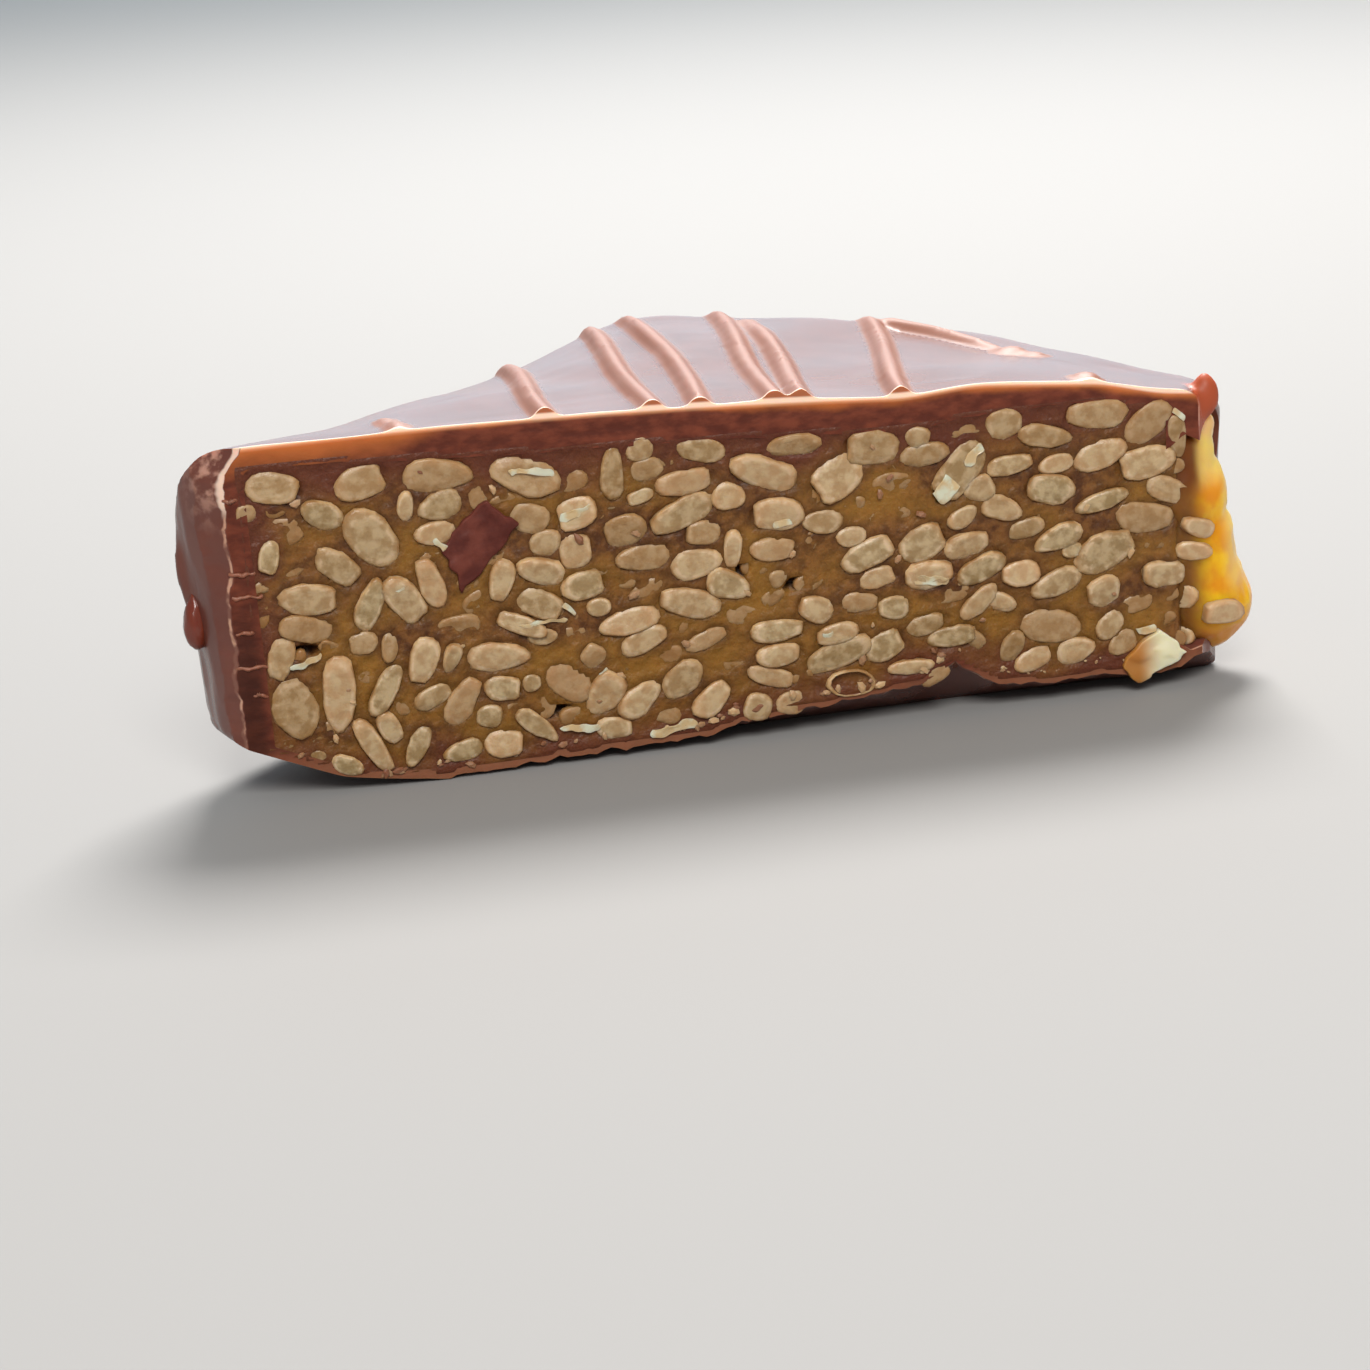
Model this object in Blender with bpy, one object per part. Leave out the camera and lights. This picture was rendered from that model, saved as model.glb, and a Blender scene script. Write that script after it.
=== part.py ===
"""Half of a chocolate coated sesame snap, resting on its flat base.

A square of caramel and whole sesame seeds was dipped in milk chocolate, drizzled with more
chocolate, and cut from corner to corner. X runs along the cut, Y goes back from the cut
plane and Z is up. Sizes are in millimetres and are scaled to metres as the meshes are made.
"""

import math
import random

import bmesh
import bpy
from mathutils import Matrix, Vector

MM = 0.001

# The whole piece
CUT_LEFT = -26.3
CUT_RIGHT = 26.7
HALF_CUT = 26.5
MID_HEIGHT = 17.84
FALL_TO_RIGHT = 0.051
CROWN = 0.9
BACK_LEFT_DROP = 1.7
BACK_RISE = 0.15
FRONT_OVERRUN = 4.0
BOX_MIDDLE = (0.69, 14.84)

# The chocolate coat
WALL = 1.6
BASE_SKIN = 0.6
TOP_SKIN_ENDS = 1.2
TOP_SKIN_MIDDLE = 2.0
SHOULDER = 3.0
HEEL = 1.0
WALL_TAPER = 0.9
SHARPEST = 0.25
SOFTENS_OVER = 7.0
PLAY = 0.3

# The drizzle
STRAND_WIDTH = 1.4
STRAND_SINK = 0.1
STRAND_STEP = 2.4

# The seeds
SEED_COUNT = 185
SEED_LENGTH = (2.3, 3.3)
SEED_WIDTH_SHARE = (0.5, 0.64)
SEED_THICKNESS = 1.3
SEED_PROUD = 0.38
SEED_MARGIN = 0.25
SEED_TRIES = 400
RANDOM_SEED = 7

# Corners of the outline at half height as X, Y and rounding radius, from the cut's left end round the back
OUTLINE_CORNERS = (
    (CUT_LEFT + 2.0, -FRONT_OVERRUN, 0.5),
    (-29.2, 4.4, 3.0),
    (1.0, 31.8, 6.0),
    (20.5, 20.5, 9.0),
    (29.8, 4.2, 3.0),
    (CUT_RIGHT - 3.0, -FRONT_OVERRUN, 0.5),
)
CENTRE = (1.5, 9.5)

# The underside of the cut edge, lifted where the thin chocolate base has chipped away
CHIPPED_EDGE = (
    (-27.5, 0.0),
    (-19.0, 0.0),
    (-9.6, 0.5),
    (-1.5, 0.7),
    (0.5, 1.2),
    (8.0, 1.8),
    (10.4, 2.1),
    (12.4, 3.0),
    (14.6, 1.6),
    (18.0, 1.1),
    (22.0, 0.7),
    (29.5, 0.9),
)
CHIP_DEPTH = 3.4
TIP_SINK = 0.07

# Drizzle strands as front X, back X and the share of the way back that each covers
STRANDS = (
    (-8.8, -8.0, 1.0),
    (-3.3, -2.0, 1.0),
    (-0.6, 1.0, 1.0),
    (3.3, 5.8, 1.0),
    (4.9, 7.2, 0.92),
    (10.3, 14.0, 1.0),
)

# The caramel that bulges out where the coat has broken away at the right end, as centre and radii
BULGES = (
    ((26.0, 2.7, 10.2), (2.4, 2.9, 4.0)),
    ((26.5, 2.8, 6.9), (2.9, 3.0, 3.2)),
    ((27.2, 2.6, 4.2), (3.0, 2.8, 2.9)),
    ((24.4, 0.0, 3.1), (1.5, 0.8, 1.2)),
)
BREAK = ((25.8, 0.2, 8.5), (3.4, 5.0, 5.3))


def scaled(points):
    return [Vector(point) * MM for point in points]


def clear_scene():
    for obj in list(bpy.data.objects):
        bpy.data.objects.remove(obj, do_unlink=True)


def finish_material(name, colour, roughness, subsurface):
    material = bpy.data.materials.new(name)
    material.use_nodes = True
    shader = material.node_tree.nodes["Principled BSDF"]
    shader.inputs["Base Color"].default_value = (*colour, 1.0)
    shader.inputs["Roughness"].default_value = roughness
    shader.inputs["Subsurface Weight"].default_value = subsurface
    shader.inputs["Subsurface Scale"].default_value = 0.002
    shader.inputs["Metallic"].default_value = 0.0
    return material


def object_from(name, bm):
    bmesh.ops.recalc_face_normals(bm, faces=bm.faces)
    mesh = bpy.data.meshes.new(name)
    bm.to_mesh(mesh)
    bm.free()
    obj = bpy.data.objects.new(name, mesh)
    bpy.context.scene.collection.objects.link(obj)
    return obj


def helper(obj):
    obj.hide_render = True
    obj.display_type = "WIRE"
    return obj


def apply_modifiers(obj):
    bpy.context.view_layer.update()
    graph = bpy.context.evaluated_depsgraph_get()
    mesh = bpy.data.meshes.new_from_object(obj.evaluated_get(graph))
    obj.modifiers.clear()
    obj.data = mesh


def subtract(obj, cutter):
    """Takes the cutter away from the object and removes it."""
    cut = obj.modifiers.new("cut", "BOOLEAN")
    cut.operation = "DIFFERENCE"
    cut.object = helper(cutter)
    apply_modifiers(obj)
    bpy.data.objects.remove(cutter, do_unlink=True)


def fuse(obj, pieces, solver):
    """Joins the pieces to the object in one union and removes them."""
    together = bpy.data.collections.new(obj.name + "_pieces")
    bpy.context.scene.collection.children.link(together)
    for piece in pieces:
        together.objects.link(helper(piece))
    union = obj.modifiers.new("fuse", "BOOLEAN")
    union.operation = "UNION"
    union.operand_type = "COLLECTION"
    union.collection = together
    union.solver = solver
    apply_modifiers(obj)
    for piece in pieces:
        bpy.data.objects.remove(piece, do_unlink=True)
    bpy.data.collections.remove(together)


def shells_of(bm):
    """The mesh's separate closed surfaces, each as a set of faces."""
    left = set(bm.faces)
    shells = []
    while left:
        start = left.pop()
        shell = {start}
        edge_of_search = [start]
        while edge_of_search:
            face = edge_of_search.pop()
            for edge in face.edges:
                for other in edge.link_faces:
                    if other in left:
                        left.discard(other)
                        shell.add(other)
                        edge_of_search.append(other)
        shells.append(shell)
    return shells


def keep_outer_shell(obj):
    """Fills any hollow that fusing has sealed and drops any loose scrap."""
    bm = bmesh.new()
    bm.from_mesh(obj.data)
    bmesh.ops.triangulate(bm, faces=bm.faces)
    shells = sorted(shells_of(bm), key=len)
    spare = [face for shell in shells[:-1] for face in shell]
    bmesh.ops.delete(bm, geom=spare, context="FACES")
    bm.to_mesh(obj.data)
    bm.free()


def between(x, stops):
    """The value at x on a line of straight runs through the stops."""
    if x <= stops[0][0]:
        return stops[0][1]
    for (x0, z0), (x1, z1) in zip(stops, stops[1:]):
        if x <= x1:
            return z0 + (z1 - z0) * (x - x0) / (x1 - x0)
    return stops[-1][1]


def eased(low, high, x):
    share = min(max((x - low) / (high - low), 0.0), 1.0)
    return share * share * (3.0 - 2.0 * share)


def rounded_outline(corners, arc_step=24.0):
    """Walks round the corners, each one turned into an arc of its own radius."""
    points = []
    for i, (x, y, radius) in enumerate(corners):
        here = Vector((x, y))
        before = Vector(corners[i - 1][:2]) - here
        after = Vector(corners[(i + 1) % len(corners)][:2]) - here
        before.normalize()
        after.normalize()
        half = before.angle(after) / 2.0
        bisector = (before + after).normalized()
        middle = here + bisector * radius / math.sin(half)
        start = here + before * radius / math.tan(half) - middle
        end = here + after * radius / math.tan(half) - middle
        turn = start.angle(end)
        steps = max(2, round(math.degrees(turn) / arc_step))
        for k in range(steps + 1):
            share = k / steps
            arm = start * math.sin((1.0 - share) * turn) + end * math.sin(share * turn)
            points.append(middle + arm / math.sin(turn))
    return points


def split_long_runs(points, longest=4.4):
    """Adds points so that no side of the outline is longer than the given length."""
    out = []
    for i, point in enumerate(points):
        following = points[(i + 1) % len(points)]
        count = max(1, math.ceil((following - point).length / longest))
        out.extend(point.lerp(following, k / count) for k in range(count))
    return out


def toward_centre(point, distance):
    inward = Vector(CENTRE) - point
    return point + inward.normalized() * distance


def rim_depth(x):
    """How far back the flat top reaches, roughly, at this X."""
    return between(x, ((-26.0, 3.0), (-2.0, 26.0), (6.0, 26.5), (19.0, 19.0), (28.0, 4.0)))


def top_height(x, y):
    along = MID_HEIGHT - FALL_TO_RIGHT * x + CROWN * (1.0 - (x / HALF_CUT) ** 2)
    back = min(max(y / rim_depth(x), 0.0), 1.15)
    drop = (BACK_LEFT_DROP + BACK_RISE) * (1.0 - eased(-10.0, 4.0, x)) - BACK_RISE
    return along - drop * back * back


def top_skin(x):
    return TOP_SKIN_MIDDLE - (TOP_SKIN_MIDDLE - TOP_SKIN_ENDS) * (x / HALF_CUT) ** 2


def softness(y):
    """How rounded the body's edges are: crisp beside the cut, and soft behind it."""
    return SHARPEST + (1.0 - SHARPEST) * eased(0.0, SOFTENS_OVER, y)


def base_height(x, y):
    """Flat, but lifted under the left corner."""
    return max(0.0, (-19.0 - x) * 0.42)


def lofted_body(inset, lift, lower, shoulder, heel):
    """A rounded body between the base and the top, cut flat by the plane of the cut.

    inset moves its walls inwards, lift raises its base and lower brings down its top.
    """
    outline = [toward_centre(p, inset) for p in split_long_runs(rounded_outline(OUTLINE_CORNERS))]

    def level(share, extra, from_top, from_base):
        ring = []
        for point in outline:
            soft = softness(point.y)
            x, y = toward_centre(point, (extra + WALL_TAPER * (1.0 - share)) * soft)
            base = base_height(x, y) + lift + from_base * soft
            top = top_height(x, y) - lower(x) - from_top * soft
            ring.append((x, y, base + (top - base) * share))
        return ring

    def cap(share, ring_share):
        edge = heel if share == 0.0 else shoulder
        ring = []
        for point in outline:
            start = toward_centre(point, (edge + WALL_TAPER * (1.0 - share)) * softness(point.y))
            x, y = Vector(CENTRE).lerp(start, ring_share)
            ring.append((x, y, base_height(x, y) + lift if share == 0.0 else top_height(x, y) - lower(x)))
        return ring

    rings = [cap(0.0, 0.4), cap(0.0, 0.75)]
    rings.append(level(0.0, heel, 0.0, 0.0))
    rings.append(level(0.0, heel * 0.3, 0.0, heel * 0.3))
    rings.append(level(0.0, 0.0, 0.0, heel))
    for share in (0.35, 0.7):
        rings.append(level(share, 0.0, shoulder, heel))
    for degrees in (0, 25, 50, 72):
        turn = math.radians(degrees)
        rings.append(level(1.0, shoulder * (1 - math.cos(turn)), shoulder * (1 - math.sin(turn)), 0.0))
    rings.extend(cap(1.0, share) for share in (1.0, 0.82, 0.6, 0.35))

    bm = bmesh.new()
    loops = [[bm.verts.new(point) for point in scaled(ring)] for ring in rings]
    count = len(outline)
    for lower_loop, upper_loop in zip(loops, loops[1:]):
        for i in range(count):
            j = (i + 1) % count
            bm.faces.new((lower_loop[i], lower_loop[j], upper_loop[j], upper_loop[i]))
    x, y = CENTRE
    ends = ((loops[0], base_height(x, y) + lift), (loops[-1], top_height(x, y) - lower(x)))
    for loop, height in ends:
        hub = bm.verts.new(Vector((x, y, height)) * MM)
        for i in range(count):
            bm.faces.new((loop[i], loop[(i + 1) % count], hub))
    return bm


def knife_block():
    """Everything in front of the plane of the cut."""
    bm = bmesh.new()
    bmesh.ops.create_cube(bm, size=1.0)
    bmesh.ops.scale(bm, verts=bm.verts, vec=Vector((90.0, 12.0, 60.0)) * MM)
    bmesh.ops.translate(bm, verts=bm.verts, vec=Vector((0.0, -6.0, 10.0)) * MM)
    return object_from("knife_block", bm)


def edge_wedge(rise):
    """The space under the chipped cut edge, raised by the skin and play of the body that it cuts."""
    bm = bmesh.new()
    rows = []
    for y in (-0.6 * CHIP_DEPTH, CHIP_DEPTH):
        share = 1.0 - y / CHIP_DEPTH
        tops = [(x, y, height * share + rise - TIP_SINK) for x, height in CHIPPED_EDGE]
        feet = [(x, y, -3.0) for x, _ in CHIPPED_EDGE]
        rows.append([bm.verts.new(point) for point in scaled(tops + feet[::-1])])
    front, back = rows
    for i in range(len(front)):
        j = (i + 1) % len(front)
        bm.faces.new((front[i], front[j], back[j], back[i]))
    bm.faces.new(front)
    bm.faces.new(back)
    bmesh.ops.triangulate(bm, faces=bm.faces)
    return object_from("edge_wedge", bm)


def ball(name, centre, radii, detail=2, turn=None):
    """A low ball stretched to three radii, and turned if asked."""
    bm = bmesh.new()
    bmesh.ops.create_icosphere(bm, subdivisions=detail, radius=1.0)
    bmesh.ops.scale(bm, verts=bm.verts, vec=Vector(radii) * MM)
    if turn is not None:
        bmesh.ops.transform(bm, matrix=turn, verts=bm.verts)
    bmesh.ops.translate(bm, verts=bm.verts, vec=Vector(centre) * MM)
    return object_from(name, bm)


def strand(name, points, width):
    """A rope of drizzled chocolate along the points."""
    curve = bpy.data.curves.new(name, "CURVE")
    curve.dimensions = "3D"
    curve.bevel_depth = width * 0.5 * MM
    curve.bevel_resolution = 1
    curve.use_fill_caps = True
    spline = curve.splines.new("POLY")
    spline.points.add(len(points) - 1)
    for target, point in zip(spline.points, scaled(points)):
        target.co = (*point, 1.0)
    rope = bpy.data.objects.new(name, curve)
    bpy.context.scene.collection.objects.link(rope)
    bpy.context.view_layer.update()
    mesh = bpy.data.meshes.new_from_object(rope)
    bpy.data.objects.remove(rope, do_unlink=True)
    bm = bmesh.new()
    bm.from_mesh(mesh)
    bmesh.ops.remove_doubles(bm, verts=bm.verts, dist=0.01 * MM)
    return object_from(name, bm)


def over_the_top(front_x, back_x, reach):
    """Points along a strand from the cut edge over the top to the rounded back edge."""
    end = rim_depth(back_x) * reach
    count = max(4, round(end / STRAND_STEP))
    points = []
    for k in range(count + 1):
        share = k / count
        x = front_x + (back_x - front_x) * share
        y = 0.75 + (end - 0.75) * share
        points.append((x, y, top_height(x, y) - STRAND_SINK))
    if reach == 1.0:
        x, y, z = points[-1]
        points.append((x + 0.1, y + 1.3, z - 0.7))
    return points


def drizzle():
    ropes = [
        strand(f"strand_{i}", over_the_top(front, back, reach), STRAND_WIDTH)
        for i, (front, back, reach) in enumerate(STRANDS)
    ]
    rim = [(15.6, 19.4), (17.0, 16.6), (18.0, 13.2), (19.2, 10.6)]
    along_rim = [(x, y, top_height(x, y) - STRAND_SINK) for x, y in rim]
    ropes.append(strand("strand_along_rim", along_rim, STRAND_WIDTH))
    ropes.append(ball("strand_end", (19.3, 10.3, top_height(19.3, 10.3)), (1.3, 1.2, 0.7), 1))
    down_wall = [(-25.0, 4.6, 17.6), (-27.2, 4.0, 15.4), (-28.0, 3.4, 12.4), (-27.9, 3.2, 9.6)]
    ropes.append(strand("strand_down_wall", down_wall, STRAND_WIDTH))
    ropes.append(ball("drip", (-27.8, 2.9, 8.8), (0.9, 1.0, 1.3), 1))
    return ropes


def edge_lumps():
    """Lumps of set chocolate on the cut edge, and the nub that stands at its right end."""
    lump_left = ball("lump_left", (-16.4, 1.1, 18.7), (1.2, 0.9, 0.75), 1)
    lump_right = ball("lump_right", (19.8, 1.2, 17.2), (1.3, 1.0, 0.7), 1)
    nub = ball("nub", (27.1, 1.2, 16.0), (0.85, 0.8, 1.5), 1)
    return [lump_left, lump_right, nub]


def chocolate_coat():
    coat = object_from("chocolate_coat", lofted_body(0.0, 0.0, lambda x: 0.0, SHOULDER, HEEL))
    subtract(coat, edge_wedge(0.0))
    hollow = object_from("hollow", lofted_body(WALL, BASE_SKIN, top_skin, 1.6, 0.4))
    subtract(hollow, edge_wedge(BASE_SKIN))
    subtract(coat, hollow)
    subtract(coat, ball("break", *BREAK))
    for centre, radii in BULGES:
        grown = [radius + PLAY + 0.25 for radius in radii]
        subtract(coat, ball("window", centre, grown))
    fuse(coat, drizzle() + edge_lumps(), "EXACT")
    subtract(coat, knife_block())
    keep_outer_shell(coat)
    return coat


def seed_places():
    """Places of the seeds on the cut face: X, Z, half length, half width and tilt in degrees.

    The seeds are large and stand at all angles on the left, and lie flatter, rising a little
    to the right, over the rest. Each keeps clear of those placed before it.
    """
    rng = random.Random(RANDOM_SEED)
    places = []
    for size_share in [1.0 - i / SEED_COUNT for i in range(SEED_COUNT)]:
        for _ in range(SEED_TRIES):
            x = rng.uniform(-24.0, 26.0)
            low = between(x, CHIPPED_EDGE) + base_height(x, 0.0) + BASE_SKIN + PLAY
            high = top_height(x, 0.0) - top_skin(x) - PLAY
            half_length = 0.5 * (SEED_LENGTH[0] + (SEED_LENGTH[1] - SEED_LENGTH[0]) * size_share)
            half_width = half_length * rng.uniform(*SEED_WIDTH_SHARE)
            spread = 65.0 - 45.0 * eased(-22.0, -4.0, x)
            tilt = rng.gauss(10.0, spread)
            rise = math.hypot(
                half_length * math.sin(math.radians(tilt)), half_width * math.cos(math.radians(tilt))
            )
            room = rise + SEED_MARGIN
            z = rng.uniform(low + room, high - room)
            reach = half_length + SEED_MARGIN
            if x - reach < CUT_LEFT + WALL + PLAY or x + reach > CUT_RIGHT:
                continue
            if all(apart(x, z, half_length, half_width, tilt, other) for other in places):
                places.append((x, z, half_length, half_width, tilt))
                break
    return places


def apart(x, z, half_length, half_width, tilt, other):
    """Whether a seed keeps off another one, taking each as an ellipse seen along the line between them."""
    away = Vector((other[0] - x, other[1] - z))
    bearing = math.atan2(away.y, away.x)

    def reach(long_radius, short_radius, angle):
        off = bearing - math.radians(angle)
        return long_radius * short_radius / math.hypot(
            short_radius * math.cos(off), long_radius * math.sin(off)
        )

    needed = reach(half_length, half_width, tilt) + reach(other[2], other[3], other[4])
    return away.length > needed * 0.86


def seed(index, place):
    """One seed, half sunk in the cut face."""
    x, z, half_length, half_width, tilt = place
    depth = SEED_THICKNESS * 0.5
    turn = Matrix.Rotation(-math.radians(tilt), 4, "Y")
    return ball(
        f"seed_{index}", (x, depth - SEED_PROUD, z), (half_length, depth, half_width), 1, turn
    )


def flake():
    """A shaving of chocolate that lies on the cut face."""
    corners = ((-11.9, 14.7), (-10.6, 13.5), (-12.6, 10.7), (-14.9, 11.6))
    bm = bmesh.new()
    front = [bm.verts.new(point) for point in scaled((x, -0.75, z) for x, z in corners)]
    back = [bm.verts.new(point) for point in scaled((x, 0.3, z) for x, z in corners)]
    bm.faces.new(front)
    bm.faces.new(back)
    for i in range(4):
        j = (i + 1) % 4
        bm.faces.new((front[i], front[j], back[j], back[i]))
    bmesh.ops.triangulate(bm, faces=bm.faces)
    return object_from("flake", bm)


def sesame_filling():
    inset = WALL + PLAY
    bm = lofted_body(inset, BASE_SKIN + PLAY, lambda x: top_skin(x) + PLAY, 1.5, 0.4)
    filling = object_from("sesame_filling", bm)
    subtract(filling, edge_wedge(BASE_SKIN + PLAY))
    subtract(filling, knife_block())
    bulges = [ball("bulge", centre, radii) for centre, radii in BULGES]
    seeds = [seed(i, place) for i, place in enumerate(seed_places())]
    fuse(filling, bulges + [flake()] + seeds, "MANIFOLD")
    keep_outer_shell(filling)
    return filling


def assemble():
    clear_scene()
    cut_edge = bpy.data.objects.new("cut_edge_middle", None)
    cut_edge.location = Vector((-BOX_MIDDLE[0], -BOX_MIDDLE[1], 0.0)) * MM
    bpy.context.scene.collection.objects.link(cut_edge)
    coat = chocolate_coat()
    coat.data.materials.append(finish_material("milk_chocolate", (0.19, 0.075, 0.045), 0.35, 0.05))
    filling = sesame_filling()
    filling.data.materials.append(finish_material("caramel_and_seeds", (0.42, 0.27, 0.12), 0.4, 0.2))
    for piece in (coat, filling):
        piece.parent = cut_edge
        piece.data.shade_smooth()
        piece.data.set_sharp_from_angle(angle=math.radians(35.0))


assemble()
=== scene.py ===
"""Half of a chocolate coated sesame snap: the looks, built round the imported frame."""

import math
import random

import bmesh
import bpy
from mathutils import Matrix, Vector, noise
from mathutils.kdtree import KDTree


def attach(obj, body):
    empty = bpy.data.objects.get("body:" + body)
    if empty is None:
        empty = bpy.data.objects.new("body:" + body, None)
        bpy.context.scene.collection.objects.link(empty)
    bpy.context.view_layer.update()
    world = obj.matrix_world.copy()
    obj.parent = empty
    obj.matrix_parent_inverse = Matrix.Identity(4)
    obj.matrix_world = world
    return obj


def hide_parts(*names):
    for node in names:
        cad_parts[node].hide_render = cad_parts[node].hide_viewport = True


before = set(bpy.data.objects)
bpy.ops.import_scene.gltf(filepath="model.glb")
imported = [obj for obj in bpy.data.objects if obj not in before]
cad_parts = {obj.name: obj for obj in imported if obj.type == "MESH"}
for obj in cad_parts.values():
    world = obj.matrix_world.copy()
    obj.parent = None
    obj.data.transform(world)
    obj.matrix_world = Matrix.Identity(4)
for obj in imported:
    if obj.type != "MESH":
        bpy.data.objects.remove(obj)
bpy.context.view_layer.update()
bpy.ops.object.select_all(action="DESELECT")

# The chocolate coat. A square of caramel was dipped in milk chocolate, set on a flat sheet and cut
# from corner to corner. Its outer skin is raised ring by ring from the outline of the base, with
# the drizzle, which set into it, and the two are fused before the inside is taken out.
MM = 0.001
CUT_MIDDLE = Vector((-0.69, -14.84, 0.0))
CUT_LEFT = -26.3
CUT_RIGHT = 26.7
HALF_CUT = 26.5
MID_HEIGHT = 17.84
FALL_TO_RIGHT = 0.051
CROWN = 0.9
BACK_LEFT_DROP = 1.7
BACK_RISE = 0.15
FRONT_OVERRUN = 4.0
WALL = 1.6
BASE_SKIN = 0.6
TOP_SKIN_MIDDLE = 1.85
SHOULDER = 3.0
HEEL = 1.0
WALL_TAPER = 0.9
SHARPEST = 0.25
SOFTENS_OVER = 7.0
HEART = Vector((1.5, 9.5))
OUTLINE_CORNERS = (
    (CUT_LEFT + 2.0, -FRONT_OVERRUN, 0.5),
    (-29.2, 4.4, 3.0),
    (1.0, 31.8, 6.0),
    (20.5, 20.5, 9.0),
    (29.8, 4.2, 3.0),
    (CUT_RIGHT - 3.0, -FRONT_OVERRUN, 0.5),
)
CHIPPED_EDGE = (
    (-27.5, 0.0),
    (-19.0, 0.0),
    (-9.6, 0.5),
    (-1.5, 0.7),
    (0.5, 1.2),
    (8.0, 1.8),
    (10.4, 2.1),
    (12.4, 3.0),
    (14.6, 1.6),
    (18.0, 1.2),
    (20.5, 1.4),
    (23.0, 1.0),
    (25.2, 1.2),
    (26.6, 1.9),
    (29.5, 3.3),
)
CHIP_DEPTH = 3.4


def placed(x, y, z):
    """A point given in millimetres from the middle of the cut edge, in the frame's metres."""
    return (Vector((x, y, z)) + CUT_MIDDLE) * MM


def between(x, stops):
    """The value at x on a line of straight runs through the stops."""
    if x <= stops[0][0]:
        return stops[0][1]
    for (x0, z0), (x1, z1) in zip(stops, stops[1:]):
        if x <= x1:
            return z0 + (z1 - z0) * (x - x0) / (x1 - x0)
    return stops[-1][1]


def waver(x, y, z):
    """Smooth noise at a place, from -1 to 1."""
    return noise.noise(Vector((x, y, z)))


def eased(low, high, x):
    """Runs from 0 to 1 while x goes from low to high, slow at both ends."""
    share = min(max((x - low) / (high - low), 0.0), 1.0)
    return share * share * (3.0 - 2.0 * share)


def rim_depth(x):
    """How far back the flat top reaches at this X."""
    return between(x, ((-26.0, 3.0), (-2.0, 26.0), (6.0, 26.5), (19.0, 19.0), (28.0, 4.0)))


RIM_DROP = 0.22
RIM_STEP_UP = (9.5, 15.0, 0.6)
RIM_STEP_DOWN = (20.5, 25.0, -0.5)


def top_height(x, y):
    """The top of the chocolate, which is domed and falls away to the back on the left."""
    along = MID_HEIGHT - FALL_TO_RIGHT * x + CROWN * (1.0 - (x / HALF_CUT) ** 2)
    wave = sum(size * eased(start, end, x) for start, end, size in (RIM_STEP_UP, RIM_STEP_DOWN)) - RIM_DROP
    along += wave * (1.0 - eased(1.0, 14.0, y))
    back = min(max(y / rim_depth(x), 0.0), 1.15)
    drop = (BACK_LEFT_DROP + BACK_RISE) * (1.0 - eased(-10.0, 4.0, x)) - BACK_RISE
    return along - drop * back * back


CURL_SOFTNESS = 0.7


def base_height(x):
    """The underside, flat but lifted under the left corner, where it curls up from the sheet."""
    past = (-19.0 - x) / CURL_SOFTNESS
    return 0.42 * CURL_SOFTNESS * math.log1p(math.exp(past)) if past < 30.0 else 0.42 * (-19.0 - x)


def top_skin(x):
    """The thickness of the chocolate over the filling, which thins toward both ends."""
    return TOP_SKIN_MIDDLE - 0.8 * eased(11.0, 22.0, x) - 0.65 * eased(-8.0, -26.0, x)


def rounded_outline(corners, spacing):
    """Walks round the corners, each turned into an arc of its own radius, with a point at each spacing."""
    points = []
    for i, (x, y, radius) in enumerate(corners):
        here = Vector((x, y))
        before = (Vector(corners[i - 1][:2]) - here).normalized()
        after = (Vector(corners[(i + 1) % len(corners)][:2]) - here).normalized()
        half = before.angle(after) / 2.0
        middle = here + (before + after).normalized() * radius / math.sin(half)
        start = here + before * radius / math.tan(half) - middle
        end = here + after * radius / math.tan(half) - middle
        turn = start.angle(end)
        steps = max(2, round(turn * radius / spacing))
        for k in range(steps + 1):
            share = k / steps
            arm = start * math.sin((1.0 - share) * turn) + end * math.sin(share * turn)
            points.append(middle + arm / math.sin(turn))
    filled = []
    for i, point in enumerate(points):
        following = points[(i + 1) % len(points)]
        count = max(1, round((following - point).length / spacing))
        filled.extend(point.lerp(following, k / count) for k in range(count))
    return filled


def toward_heart(point, distance):
    """The point moved in from the outline, toward the middle of the base."""
    return point + (HEART - point).normalized() * distance


def softness(y):
    """How rounded the edges are: crisp beside the cut, and soft behind it."""
    return SHARPEST + (1.0 - SHARPEST) * eased(0.0, SOFTENS_OVER, y)


def make_active(obj, *others):
    """Selects the objects and nothing else, and makes the first one active."""
    bpy.ops.object.select_all(action="DESELECT")
    for chosen in (obj, *others):
        chosen.select_set(True)
    bpy.context.view_layer.objects.active = obj


def joined(name, first, *others):
    """One object made of several, at the place of the first."""
    make_active(first, *others)
    bpy.ops.object.join()
    first.name = name
    return first


def new_object(name, data):
    """An object made of the data, linked to the scene."""
    obj = bpy.data.objects.new(name, data)
    bpy.context.scene.collection.objects.link(obj)
    return obj


def apply_modifier(obj, kind, **settings):
    """Adds a modifier, sets it and applies it."""
    make_active(obj)
    modifier = obj.modifiers.new(kind.lower(), kind)
    for name, value in settings.items():
        setattr(modifier, name, value)
    bpy.ops.object.modifier_apply(modifier=modifier.name)


def take_away(obj, cutter):
    """Cuts one body out of another, and removes the cutter."""
    apply_modifier(obj, "BOOLEAN", operation="DIFFERENCE", object=cutter, solver="EXACT")
    bpy.data.objects.remove(cutter, do_unlink=True)


def faces_outwards():
    """Turns the faces of the mesh that is being edited outwards, and ends the editing."""
    bpy.ops.mesh.select_all(action="SELECT")
    bpy.ops.mesh.normals_make_consistent(inside=False)
    bpy.ops.object.mode_set(mode="OBJECT")


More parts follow.
